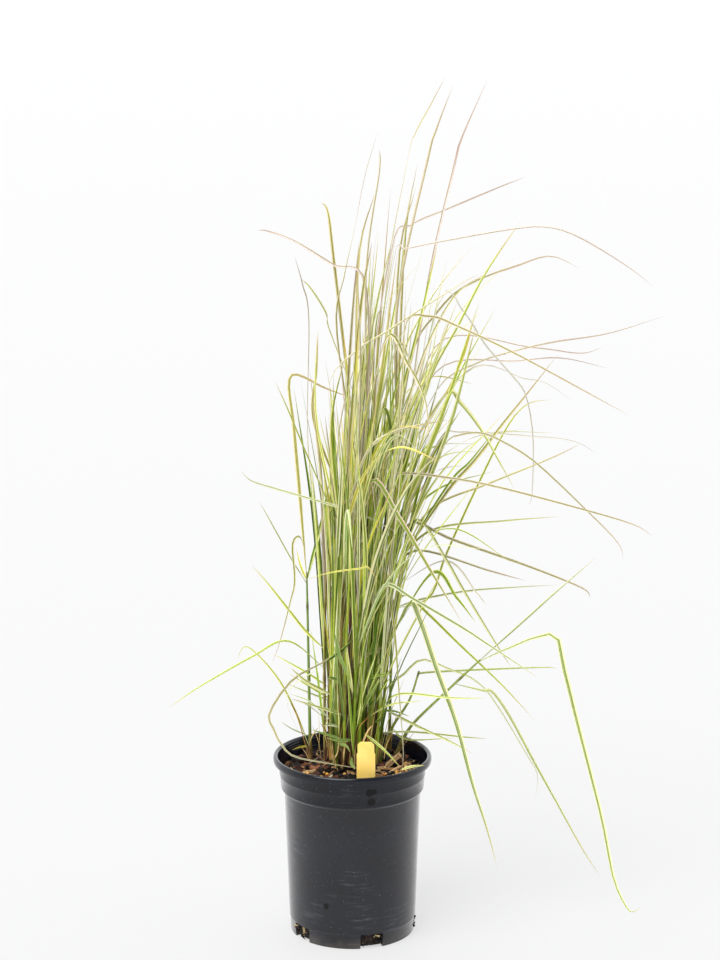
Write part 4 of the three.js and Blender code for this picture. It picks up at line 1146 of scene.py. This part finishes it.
def culm_skin():
    """The sheathed skin of a straw: striped green and cream above, tan and purple-brown at the foot."""
    finish = Finish("culm_skin", 0.5)
    place = finish.place()
    streaks = finish.cloud(finish.stretched(place, (1, 1, 0.05)), 900, 3, 0.6)
    tone = finish.attribute("culm_tone").outputs["Color"]
    colour = finish.mix(finish.ease(streaks, 0.44, 0.66, 0, 0.35), tone, (0.016, 0.02, 0.005, 1))
    wax = finish.ease(finish.cloud(finish.stretched(place, (1, 1, 0.12)), 300, 3), 0.57, 0.68, 0, 0.35)
    colour = finish.mix(wax, colour, paint(190, 186, 96))
    finish.into("Base Color", colour)
    finish.into("Specular IOR Level", 0.3)
    finish.bump(streaks, 0.1 * MM, 0.5)
    return finish.material


CULM_FEET = [
    (88, 50, 44), (70, 42, 32), (150, 102, 56), (84, 106, 24), (112, 132, 32), (78, 42, 46), (98, 118, 28),
    (58, 38, 26), (70, 92, 18),
]
CULM_TOPS = [
    (134, 168, 30), (104, 144, 24), (162, 184, 44), (74, 108, 18), (178, 190, 62), (144, 168, 44),
    (128, 108, 54), (56, 84, 14),
]
LONE_TONES = {
    "left_culm": ((136, 104, 60), (122, 152, 72)),
    "right_culm": ((142, 116, 62), (124, 154, 66)),
    "leaning_culm": ((186, 174, 104), (162, 182, 92)),
    "kinked_culm": ((184, 172, 96), (170, 188, 94)),
}
JOINT_TONE = (84, 56, 40)
STRIPE_TONE = (204, 196, 92)
STRIPED_SHARE = 0.3
PURPLE_STEMS = {"shoot_08": ((116, 62, 66), (136, 78, 84)), "shoot_16": ((88, 62, 42), (98, 82, 50))}


def tint_straw(straw, name, shares, from_joint, column):
    """The foot's colour gives way to the top's at its own height, with pale stripes along some sides."""
    foot, top = LONE_TONES.get(name) or PURPLE_STEMS.get(name) or (
        shades.choice(CULM_FEET), shades.choice(CULM_TOPS)
    )
    plain = name in PURPLE_STEMS or name in LONE_TONES
    tones = (foot, top, JOINT_TONE, STRIPE_TONE)
    foot, top, joint, cream = (np.array(paint(*tone)) for tone in tones)
    greened = np.clip((shares - shades.uniform(0.02, 0.2)) * shades.uniform(4, 14), 0, 1)[:, None]
    colours = foot + (top * shades.uniform(0.5, 1.3) - foot) * greened
    striped = np.array([
        shades.uniform(0, 0.7) if shades.random() < STRIPED_SHARE and not plain else 0
        for _ in range(STRAW_SIDES)
    ])
    stripe = striped[column][:, None] * (0.25 + 0.75 * greened)
    colours = colours + (cream - colours) * stripe
    near = np.exp(-((from_joint / JOINT_SHADE_REACH) ** 2))[:, None] * 0.7
    tint(straw, "culm_tone", np.clip(colours + (joint - colours) * near, 0, 1))


# Young leaves of a shoot, two low and two high: where they leave it, their lean and their length
LOW_YOUNG = ((0.02, 0.3), (2, 22), (70, 190))
HIGH_YOUNG = ((0.3, 0.95), (4, 22), (130, 260))
YOUNG_COUNT = 4
LOW_COUNT = 2
YOUNG_WIDTHS = (1.6, 3.2)
REACH_LIMIT = 74
HUSK_LENGTHS = (12, 52)
HUSK_WIDTHS = (1.2, 2.8)
HUSK_TONES = ("dead", "dead", "dry", "dry", "amber")
FACING_TURNS = (18, 12)


def husk_points(stem, turn, length, bow):
    """A dead sheath that has come away from the foot of its stem and leans out from it."""
    out = np.array([math.cos(turn), math.sin(turn), 0])
    foot = stem["points"][0] + out * 1.6 + np.array([0, 0, -3])
    ahead = unit(line_at(stem["points"], 0.2) - stem["points"][0])
    middle = foot + ahead * (length * 0.5) + out * (bow * 0.25)
    return np.array([foot, middle, foot + ahead * length + out * bow])


def turned_to_front(points, roll):
    """The roll of a placed leaf, turned the way that shows its face from the front, as in the photograph."""
    way = -1 if points[-1][0] < points[0][0] else 1
    return tuple(way * (abs(angle) + more) for angle, more in zip(roll, FACING_TURNS))


def fine_leaf(stem, share, lean, length):
    """A young leaf that leaves its stem at a narrow angle and curves out as it rises."""
    root = line_at(stem["points"], share)
    below, above = max(0, share - 0.05), min(1, share + 0.05)
    ahead = unit(line_at(stem["points"], above) - line_at(stem["points"], below))
    out = outward(shades.uniform(0, 2 * math.pi))
    start = unit(ahead + out * math.tan(math.radians(lean)))
    bow = out * (length * shades.uniform(0, 0.12))
    middle = root + start * (length * 0.5) + bow * 0.2
    tip = root + start * length + bow - np.array([0, 0, length * shades.uniform(0, 0.05)])
    return np.array([root, middle, tip])


leaf_skin = variegated_leaf()
straw_skin = culm_skin()
straw_shape = straw_master()
straw_shape.data.materials.append(straw_skin)
long_blade, leaf_blade, shred_blade = (blade_master(steps) for steps in (LONG_STEPS, LEAF_STEPS, SHRED_STEPS))
for shape in (long_blade, leaf_blade, shred_blade):
    shape.data.materials.append(leaf_skin)

for stem in stems:
    lone = not stem["name"].startswith("shoot")
    straw, *grown = bent_straw(straw_shape, stem["points"])
    tint_straw(straw, stem["name"], *grown)
    pieces = [straw]
    for leaf in stem["leaves"]:
        shape = long_blade if len(leaf["points"]) > 3 else leaf_blade
        roll = turned_to_front(leaf["points"], leaf["roll"]) if leaf["tone"] else leaf["roll"]
        blade = bent_blade(shape, leaf["points"], leaf["width"], roll)
        tint_blade(blade, leaf["tone"], leaf["points"][0][2])
        pieces.append(blade)
    for number in range(0 if lone else YOUNG_COUNT):
        is_low = number < LOW_COUNT
        share, lean, length = (shades.uniform(*limits) for limits in (LOW_YOUNG if is_low else HIGH_YOUNG))
        points = fine_leaf(stem, share, lean, length)
        if is_low and math.hypot(*points[1][:2]) > REACH_LIMIT:
            continue
        width = shades.uniform(*YOUNG_WIDTHS)
        roll = (shades.uniform(-40, 40), shades.uniform(-90, 90))
        young = bent_blade(leaf_blade, points, width, roll)
        tint_blade(young, None, points[0][2] + 40)
        pieces.append(young)
    for _ in range(shades.choice((1, 1, 2, 2, 3))):
        turn = math.atan2(*(stem["points"][0][:2] - CROWN_CENTRE)[::-1]) + shades.uniform(-1.5, 1.5)
        points = husk_points(stem, turn, shades.uniform(*HUSK_LENGTHS), shades.uniform(0.5, 10))
        width = shades.uniform(*HUSK_WIDTHS)
        husk = bent_blade(shred_blade, points, width, (0, shades.uniform(-50, 50)))
        tint_blade(husk, shades.choice(HUSK_TONES), 0)
        pieces.append(husk)
    leafy_stem = joined(pieces, stem["name"] + "_leaves")
    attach(leafy_stem, "root")
    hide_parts(stem["name"])
bpy.data.objects.remove(straw_shape)


# Leaves set one by one: broad blades of the crown, small bluish leaves round its foot, and dead sheaths and
# leaves that lean on the stems or lie over the lip. Each has its width, its depth at root and tip, its
# [x, z] places as the stray leaves have, and its tone. Without a root's depth it leaves the nearest stem.
PLACED_LEAVES = [
    # Broad blades of the crown
    [5, None, 20, [[57, 450], [93, 555], [128, 665]], "lime"],
    [4.4, None, -40, [[35, 440], [66, 555], [107, 668]], "cream"],
    [4.4, None, -60, [[23, 481], [47, 531], [74, 613], [104, 670], [140, 695]], "pinkedge"],
    [4, None, 40, [[-14, 440], [-1, 635], [7, 725]], "pinkgold"],
    [4, None, -30, [[-7, 450], [8, 650], [20, 725]], "gold"],
    [3.8, None, -50, [[-1, 440], [26, 635], [40, 725]], "pink"],
    [3.8, None, 30, [[11, 440], [38, 626], [56, 725]], "lime"],
    [4.2, None, -20, [[20, 450], [65, 629], [86, 725]], "lime"],
    [5.2, None, -66, [[20, 440], [24, 524], [28, 610]], "green"],
    [5.2, None, -60, [[-7, 440], [-7, 518], [-1, 604]], "green"],
    [3, None, 10, [[-35, 440], [-36, 543], [-35, 635]], "lime"],
    [3.6, None, -20, [[-4, 512], [-12, 635], [-21, 725]], "olive"],
    [5.4, None, -50, [[51, 440], [75, 574], [88, 653]], "cream"],
    [4.8, None, -56, [[32, 440], [56, 543], [83, 604]], "lime"],
    [4.8, None, -30, [[42, 440], [66, 506], [87, 574]], "yellow"],
    [4.4, None, -70, [[-7, 450], [14, 506], [35, 527], [66, 537], [99, 543]], "olive"],
    [5, None, -20, [[69, 440], [99, 537], [125, 644]], "palelime"],
    [5, None, 0, [[-26, 440], [-22, 537], [-7, 610]], "lime"],
    [4.6, None, -64, [[8, 440], [15, 531], [12, 604]], "lime"],
    [4.6, None, 50, [[60, 440], [84, 512], [111, 555]], "lime"],
    # Dead sheaths and leaves at the foot
    [3.2, 8, -20, [[-47, 191], [-58, 231], [-65, 247]], "amber"],
    [2.8, 6, -10, [[-35, 195], [-35, 224], [-37, 252]], "dead"],
    [2.2, 8, -10, [[-45, 199], [-41, 210], [-35, 219]], "dead"],
    [2.2, 5, -20, [[-47, 198], [-55, 197], [-63, 194]], "yellow"],
    [2.4, -5, -25, [[-20, 186], [-28, 213], [-34, 224]], "amber"],
    [3, -22, -30, [[19, 200], [20, 212], [26, 247]], "dead"],
    [2.6, -24, -36, [[5, 207], [8, 219], [19, 232]], "amber"],
    [2.4, -22, -30, [[-19, 184], [-15, 192], [-14, 213]], "dead"],
    [2.2, -14, -24, [[-33, 186], [-36, 204], [-42, 221]], "dead"],
    [2.8, -26, -32, [[-27, 184], [-27, 195], [-30, 207]], "dry"],
    [2.6, -30, -34, [[-9, 183], [-8, 194], [-6, 204]], "dead"],
    [2.4, -18, -26, [[-22, 186], [-24, 222], [-26, 236]], "amber"],
    [2.2, -30, -40, [[9, 196], [16, 214], [22, 222]], "dead"],
    [2.2, -16, -24, [[33, 184], [36, 200], [42, 213]], "dead"],
    # Green leaves by the tag and over the lip
    [2.8, -26, -52, [[12, 212], [32, 195], [51, 174]], "lime"],
    [2.8, -52, -50, [[50, 172], [63, 176], [76, 177]], "lime"],
    # Blades in front of the crown's lower half
    [4.4, -26, -44, [[11, 237], [17, 250], [24, 261], [28, 273]], "bluish"],
    [3.4, -20, -36, [[25, 246], [32, 261], [40, 273]], "green"],
    [2.6, -26, -40, [[16, 239], [22, 246], [28, 253]], "deep"],
    [4.2, -40, -54, [[-18, 318], [-13, 296], [-4, 274], [0, 260]], "bluish"],
    [3.6, -44, -40, [[0, 255], [-4, 285], [-7, 316]], "lime"],
    [3.4, -34, -48, [[-27, 289], [-17, 297], [-7, 305], [1, 314]], "deep"],
    [4.6, -26, -40, [[5, 222], [11, 253], [20, 283], [26, 301]], "lime"],
    [4.4, -20, -30, [[23, 204], [28, 222], [32, 238], [35, 258]], "green"],
    [2.6, -40, -42, [[-9, 231], [-9, 268], [-11, 318]], "purple"],
    [3.8, -30, -40, [[-18, 224], [-21, 246], [-20, 269]], "bluish"],
    [3.2, -30, -40, [[-14, 210], [-16, 248], [-16, 294]], "lime"],
    [3.4, -30, -42, [[9, 229], [9, 257], [8, 301]], "green"],
    # Small leaves round the foot of the crown
    [4.2, -22, -46, [[-11, 265], [-20, 271], [-27, 272]], "bluish"],
    [4.4, -24, -44, [[-20, 262], [-21, 247], [-23, 232]], "bluish"],
    [3.4, -24, -46, [[-14, 219], [-23, 221], [-31, 220]], "palegreen"],
    [3.8, -24, -48, [[0, 205], [-14, 204], [-28, 207]], "bluish"],
    [3.4, -24, -52, [[-16, 201], [-6, 198], [-2, 191]], "bluish"],
    [4.8, -24, -50, [[13, 241], [22, 257], [30, 272]], "bluish"],
    [3, -20, -30, [[17, 271], [29, 275], [43, 276]], "green"],
    [4.4, -26, -52, [[-1, 186], [0, 178], [3, 173]], "bluish"],
    [4.6, -20, -40, [[-23, 254], [-47, 267], [-64, 283]], "palelime"],
    [3.4, -22, -44, [[-11, 232], [-28, 238], [-65, 250]], "palelime"],
    [2.8, -24, -34, [[-6, 204], [-28, 211], [-43, 216]], "bluish"],
    [3.6, -24, -36, [[23, 224], [29, 227], [31, 238]], "deep"],
    [3, -16, -10, [[-2, 281], [14, 295], [40, 309]], "gold"],
    [2.6, -10, -20, [[-25, 231], [-28, 212], [-25, 195]], "yellow"],
]


def placed_root(depth, x, z):
    """The seen place at that depth, or without a depth the nearest stem's point at that height."""
    if depth is None:
        return min((stem_place(stem, z) for stem in stems), key=lambda place: seen_gap(place, x, z))
    return seen_from_eye(x, z, depth)


placed = []
for width, root_depth, tip_depth, places, tone in PLACED_LEAVES:
    points = seen_line(placed_root(root_depth, *places[0]), tip_depth, places)
    shape = long_blade if len(points) > 4 else leaf_blade
    roll = turned_to_front(points, (shades.uniform(20, 60), shades.uniform(30, 90)))
    blade = bent_blade(shape, points, width, roll)
    tint_blade(blade, tone, 0)
    placed.append(blade)
placed = joined(placed, "placed_leaves")
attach(placed, "root")
for shape in (long_blade, leaf_blade):
    bpy.data.objects.remove(shape)


# Bark chips: split pine bark, brown-black to reddish, that lies loose on the mix and shows in the drains.
# Six blocks are broken and copied. The large chips lie where the CAD solid has its bark, the small ones
# between them, and a few pale splinters of wood stand up at the front.
CHIP_COUNT = 60
CHIP_LENGTHS = (8, 15)
CHIP_WIDTHS = (4, 8)
CHIP_DEPTHS = (3, 5)
CHIP_TURNS = ((-0.35, 0.35), (-0.35, 0.35), (0, math.pi))
CHIP_ROOM = 10
CHIP_MARGIN = 9
SMALL_CHIP_MARGIN = 3
CHIP_SEED = 37
SMALL_CHIP_COUNT = 430
DRAIN_CHIP_COUNT = 26
BARK_TONES = [
    (14, 8, 5), (24, 13, 8), (64, 34, 21), (104, 58, 38), (138, 88, 58), (34, 26, 22),
    (74, 34, 22), (18, 11, 8), (12, 7, 5), (16, 10, 7), (184, 144, 98), (112, 80, 56),
]
# Chips seen in the drains: darker than the bark on top, both the mix's own dark colour and painted shade of
# the drain recesses, with pale flecks
DRAIN_TONES_WITH_SHADE = [(20, 15, 12), (12, 9, 7), (34, 26, 20), (16, 12, 9), (58, 42, 30), (196, 176, 132)]
SPLINTER_TONE = (210, 172, 122)
# Each splinter has its sides, its turns and its place.
SPLINTERS = [
    ((19, 5, 4), (0.1, -0.72, 0.15), (42, -14, 187)), ((14, 3, 3), (0.1, -0.3, 0.6), (44, -24, 180)),
    ((17, 2.6, 2.4), (0, 0.25, 2.5), (28, -20, 181)), ((13, 3.4, 2.6), (0, -0.2, 0.2), (54, -6, 179)),
    ((12, 3.4, 2.6), (0, 0.2, 2.8), (-44, -30, 180)),
]


def chip_master(seed, is_large):
    """A split block of bark with broken ends, 1 unit long, wide and deep. A large one has worn edges too."""
    deselect_all()
    bpy.ops.mesh.primitive_cube_add(size=1)
    chip = bpy.context.object
    bpy.ops.object.mode_set(mode="EDIT")
    bpy.ops.mesh.select_all(action="SELECT")
    bpy.ops.mesh.subdivide(number_cuts=1)
    bpy.ops.transform.vertex_random(offset=0.16, seed=seed)
    if is_large:
        bpy.ops.mesh.bevel(offset=0.05, segments=1, affect="EDGES", offset_type="OFFSET")
    bpy.ops.object.mode_set(mode="OBJECT")
    return chip


def place_chip(master, sides, turns, place, colour):
    chip = copied(master)
    turned_box = Euler(turns, "XYZ").to_matrix().to_4x4()
    size = Matrix.Diagonal((*(side * MM for side in sides), 1))
    chip.data.transform(Matrix.Translation(Vector(place) * MM) @ turned_box @ size)
    tint(chip, "bark_tone", colour)
    return chip


chip_shapes = [chip_master(seed, is_large=True) for seed in (3, 8, 21)]
crumb_shapes = [chip_master(seed, is_large=False) for seed in (5, 11, 30)]
draws = Draws(CHIP_SEED)
feet = [stem["points"][0][:2] for stem in stems] + [np.array(TAG_PLACE, float)]
bark = []
for number in range(CHIP_COUNT):
    radius = (MOUTH_RADIUS - CHIP_MARGIN) * math.sqrt((number + 0.5) / CHIP_COUNT)
    angle = number * GOLDEN_ANGLE + draws.between(-0.3, 0.3)
    x, y = radius * math.cos(angle), radius * math.sin(angle)
    sides = [draws.between(*limits) for limits in (CHIP_LENGTHS, CHIP_WIDTHS, CHIP_DEPTHS)]
    turns = [draws.between(*limits) for limits in CHIP_TURNS]
    if min(math.dist(foot, (x, y)) for foot in feet) > CHIP_ROOM:
        colour = shade_of(shades.choice(BARK_TONES), shades.uniform(0.8, 1.2))
        place = (x, y, soil_height(radius) + 0.4)
        bark.append(place_chip(shades.choice(chip_shapes), sides, turns, place, colour))
for number in range(SMALL_CHIP_COUNT):
    radius = (MOUTH_RADIUS - SMALL_CHIP_MARGIN) * math.sqrt(shades.random())
    angle = shades.uniform(0, 2 * math.pi)
    x, y = radius * math.cos(angle), radius * math.sin(angle)
    size = shades.uniform(0.35, 1.15)
    sides = (12 * size, shades.uniform(3.5, 7) * size, shades.uniform(1.5, 3.4) * size)
    turns = (shades.gauss(0, 0.4), shades.gauss(0, 0.35), shades.uniform(0, math.pi))
    colour = shade_of(shades.choice(BARK_TONES), shades.uniform(0.8, 1.3))
    lift = soil_height(radius) + shades.uniform(-0.5, 2.2)
    bark.append(place_chip(shades.choice(crumb_shapes), sides, turns, (x, y, lift), colour))
for drain in range(DRAIN_COUNT):
    for number in range(DRAIN_CHIP_COUNT):
        angle = drain_turn(drain) + shades.uniform(-0.19, 0.19)
        radius = BASE_RADIUS - inside + shades.uniform(-1.6, 2.2)
        size = shades.uniform(0.25, 1)
        sides = (7 * size, shades.uniform(1.6, 4) * size, shades.uniform(1.5, 3) * size)
        turns = (shades.uniform(0, math.pi), shades.gauss(0, 0.8), angle + math.pi / 2 + shades.gauss(0, 0.5))
        # Own dark colour and painted shade of the drain recess
        colour = shade_of(shades.choice(DRAIN_TONES_WITH_SHADE), shades.uniform(0.8, 1.1))
        height = shades.uniform(0.6 + 3.5 * size, DRAIN_HEIGHT - 0.5)
        place = (radius * math.cos(angle), radius * math.sin(angle), height)
        bark.append(place_chip(shades.choice(crumb_shapes), sides, turns, place, colour))
for sides, turns, place in SPLINTERS:
    colour = shade_of(SPLINTER_TONE, shades.uniform(0.85, 1.1))
    bark.append(place_chip(shades.choice(chip_shapes), sides, turns, place, colour))
for shape in chip_shapes + crumb_shapes:
    bpy.data.objects.remove(shape)


def bark_skin():
    """Rough split bark in its own brown, with darker pores and a fibrous grain."""
    finish = Finish("bark", 0.62)
    place = finish.place()
    grain = finish.ease(finish.cloud(place, 500, 5, 0.7), 0.35, 0.65)
    tone = finish.attribute("bark_tone").outputs["Color"]
    finish.into("Base Color", finish.mix(grain, finish.mix(0.7, tone, (0.004, 0.003, 0.003, 1)), tone))
    finish.into("Specular IOR Level", 0.22)
    finish.bump(finish.cloud(place, 700, 5, 0.7), 0.5 * MM, 0.8)
    return finish.material


bark = joined(bark, "bark_chips")
bark.data.materials.append(bark_skin())
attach(bark, "root")


# Fertiliser: round orange and amber prills of resin-coated feed, scattered on the mix inside the lip.
# One small sphere is copied. Each copy is squeezed a little and has its own shade.
PRILL_COUNT = 50
PRILL_SIDES = (-2.2, -1.7, -0.35, -0.6)
PRILL_RADII = (50, 69)
PRILL_SIZES = (1.2, 2)
SEEN_PRILLS = [
    (-57, -28, 4), (-46, -36, 5), (-44, -38, 4), (-29, -37, 5), (-26, -39, 4), (-8, -43, 5),
    (60, -22, 4), (64, -14, 4),
]
PRILL_TONES = [(232, 168, 62), (226, 140, 40), (236, 196, 104), (206, 150, 72)]
deselect_all()
bpy.ops.mesh.primitive_ico_sphere_add(subdivisions=2, radius=1)
prill_shape = bpy.context.object
bpy.ops.object.shade_smooth()
prills = []
spots = []
for number in range(PRILL_COUNT):
    side = shades.choice(PRILL_SIDES) + shades.gauss(0, 0.3)
    radius = shades.uniform(*PRILL_RADII)
    spots.append((radius * math.cos(side), radius * math.sin(side), shades.uniform(2, 4.6)))
for x, y, rise in spots + SEEN_PRILLS:
    prill = copied(prill_shape)
    scale = Matrix.Diagonal((*(shades.uniform(*PRILL_SIZES) * MM for _ in range(3)), 1))
    height = soil_height(math.hypot(x, y)) + rise
    prill.data.transform(Matrix.Translation(Vector((x, y, height)) * MM) @ scale)
    tint(prill, "prill_tone", shade_of(shades.choice(PRILL_TONES), shades.uniform(0.8, 1.1)))
    prills.append(prill)
bpy.data.objects.remove(prill_shape)
prills = joined(prills, "fertiliser_prills")
prill_coat = Finish("prill_coat", 0.3)
prill_place = prill_coat.place()
prill_tone = prill_coat.attribute("prill_tone").outputs["Color"]
dirt = prill_coat.ease(prill_coat.cloud(prill_place, 600, 3), 0.5, 0.7, 0, 0.7)
prill_coat.into("Base Color", prill_coat.mix(dirt, prill_tone, paint(88, 58, 36)))
prills.data.materials.append(prill_coat.material)
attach(prills, "root")


# Litter: shreds of dead leaf, straws and pale root hairs that lie across the bark. Each is a short blade
# like the leaves' own, bent a little and laid flat at a turn of its own.
LITTER_COUNT = 26
LITTER_MARGIN = 12
LITTER_LENGTHS = (9, 34)
LITTER_WIDTHS = (0.5, 2.6)
LITTER_TONES = ("dead", "dead", "dry", "pinkgold")
litter = []
for number in range(LITTER_COUNT):
    radius = (MOUTH_RADIUS - LITTER_MARGIN) * math.sqrt(shades.random())
    angle, turn = shades.uniform(0, 2 * math.pi), shades.uniform(0, 2 * math.pi)
    length = shades.uniform(*LITTER_LENGTHS)
    ends = []
    for part, bow in ((-0.5, 0), (0, shades.uniform(-4, 4)), (0.5, 0)):
        x = radius * math.cos(angle) + math.cos(turn) * part * length - math.sin(turn) * bow
        y = radius * math.sin(angle) + math.sin(turn) * part * length + math.cos(turn) * bow
        inward = min(1, (MOUTH_RADIUS - 2) / math.hypot(x, y))
        x, y = x * inward, y * inward
        ends.append((x, y, soil_height(math.hypot(x, y)) + shades.uniform(2, 5)))
    width, roll = shades.uniform(*LITTER_WIDTHS), shades.uniform(-40, 40)
    shred = bent_blade(shred_blade, np.array(ends), width, (roll, roll))
    tint_blade(shred, shades.choice(LITTER_TONES), 0)
    litter.append(shred)
bpy.data.objects.remove(shred_blade)
litter = joined(litter, "leaf_litter")
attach(litter, "root")


# Studio: a white floor that runs out past the frame, one wide soft light high on the left, paper that is
# bright behind and beside the plant and dimmer in front, and the photo's camera.
FLOOR_SIZE = 240
CAMERA_PLACE = (0.0079, -2.439, 0.990)
CAMERA_PITCH = 11.79
LENS = 91.875
KEY_STRENGTH = 3.3
KEY_SPREAD = 50
KEY_FROM = (-1.0, -1.5, 2.2)

deselect_all()
bpy.ops.mesh.primitive_plane_add(size=FLOOR_SIZE)
floor = bpy.context.object
floor.name = "studio_floor"
paper = Finish("white_paper", 0.7)
paper.into("Base Color", (0.184, 0.184, 0.185, 1))
paper.into("Specular IOR Level", 0.2)
paper.into("Emission Color", (1, 1, 1, 1))
paper.into("Emission Strength", 0.605)
floor.data.materials.append(paper.material)

bpy.ops.object.light_add(type="SUN", location=KEY_FROM)
key = bpy.context.object
key.name = "soft_key"
key.data.energy = KEY_STRENGTH
key.data.angle = math.radians(KEY_SPREAD)
key.rotation_euler = (-Vector(KEY_FROM)).to_track_quat("-Z", "Y").to_euler()

world = bpy.data.worlds.new("white_studio")
world.use_nodes = True
surround = Nodes(world.node_tree)
direction = surround.node("SeparateXYZ", {"Vector": surround.node("TexCoord").outputs["Generated"]})
behind = surround.ease(direction.outputs["Y"], -0.75, 0.35, 0.32, 1.25)
low = surround.ease(direction.outputs["Z"], 0.3, 0.06)
backdrop = surround.tree.nodes["Background"]
surround.feed(backdrop.inputs["Strength"], surround.calc("MAXIMUM", behind, low))
backdrop.inputs["Color"].default_value = (0.98, 0.985, 1, 1)
bpy.context.scene.world = world
bpy.context.scene.view_settings.view_transform = "Standard"

bpy.ops.object.camera_add(location=CAMERA_PLACE, rotation=(math.radians(90 - CAMERA_PITCH), 0, 0))
camera = bpy.context.object
camera.data.sensor_fit = "VERTICAL"
camera.data.sensor_height = 36
camera.data.lens = LENS
bpy.context.scene.camera = camera
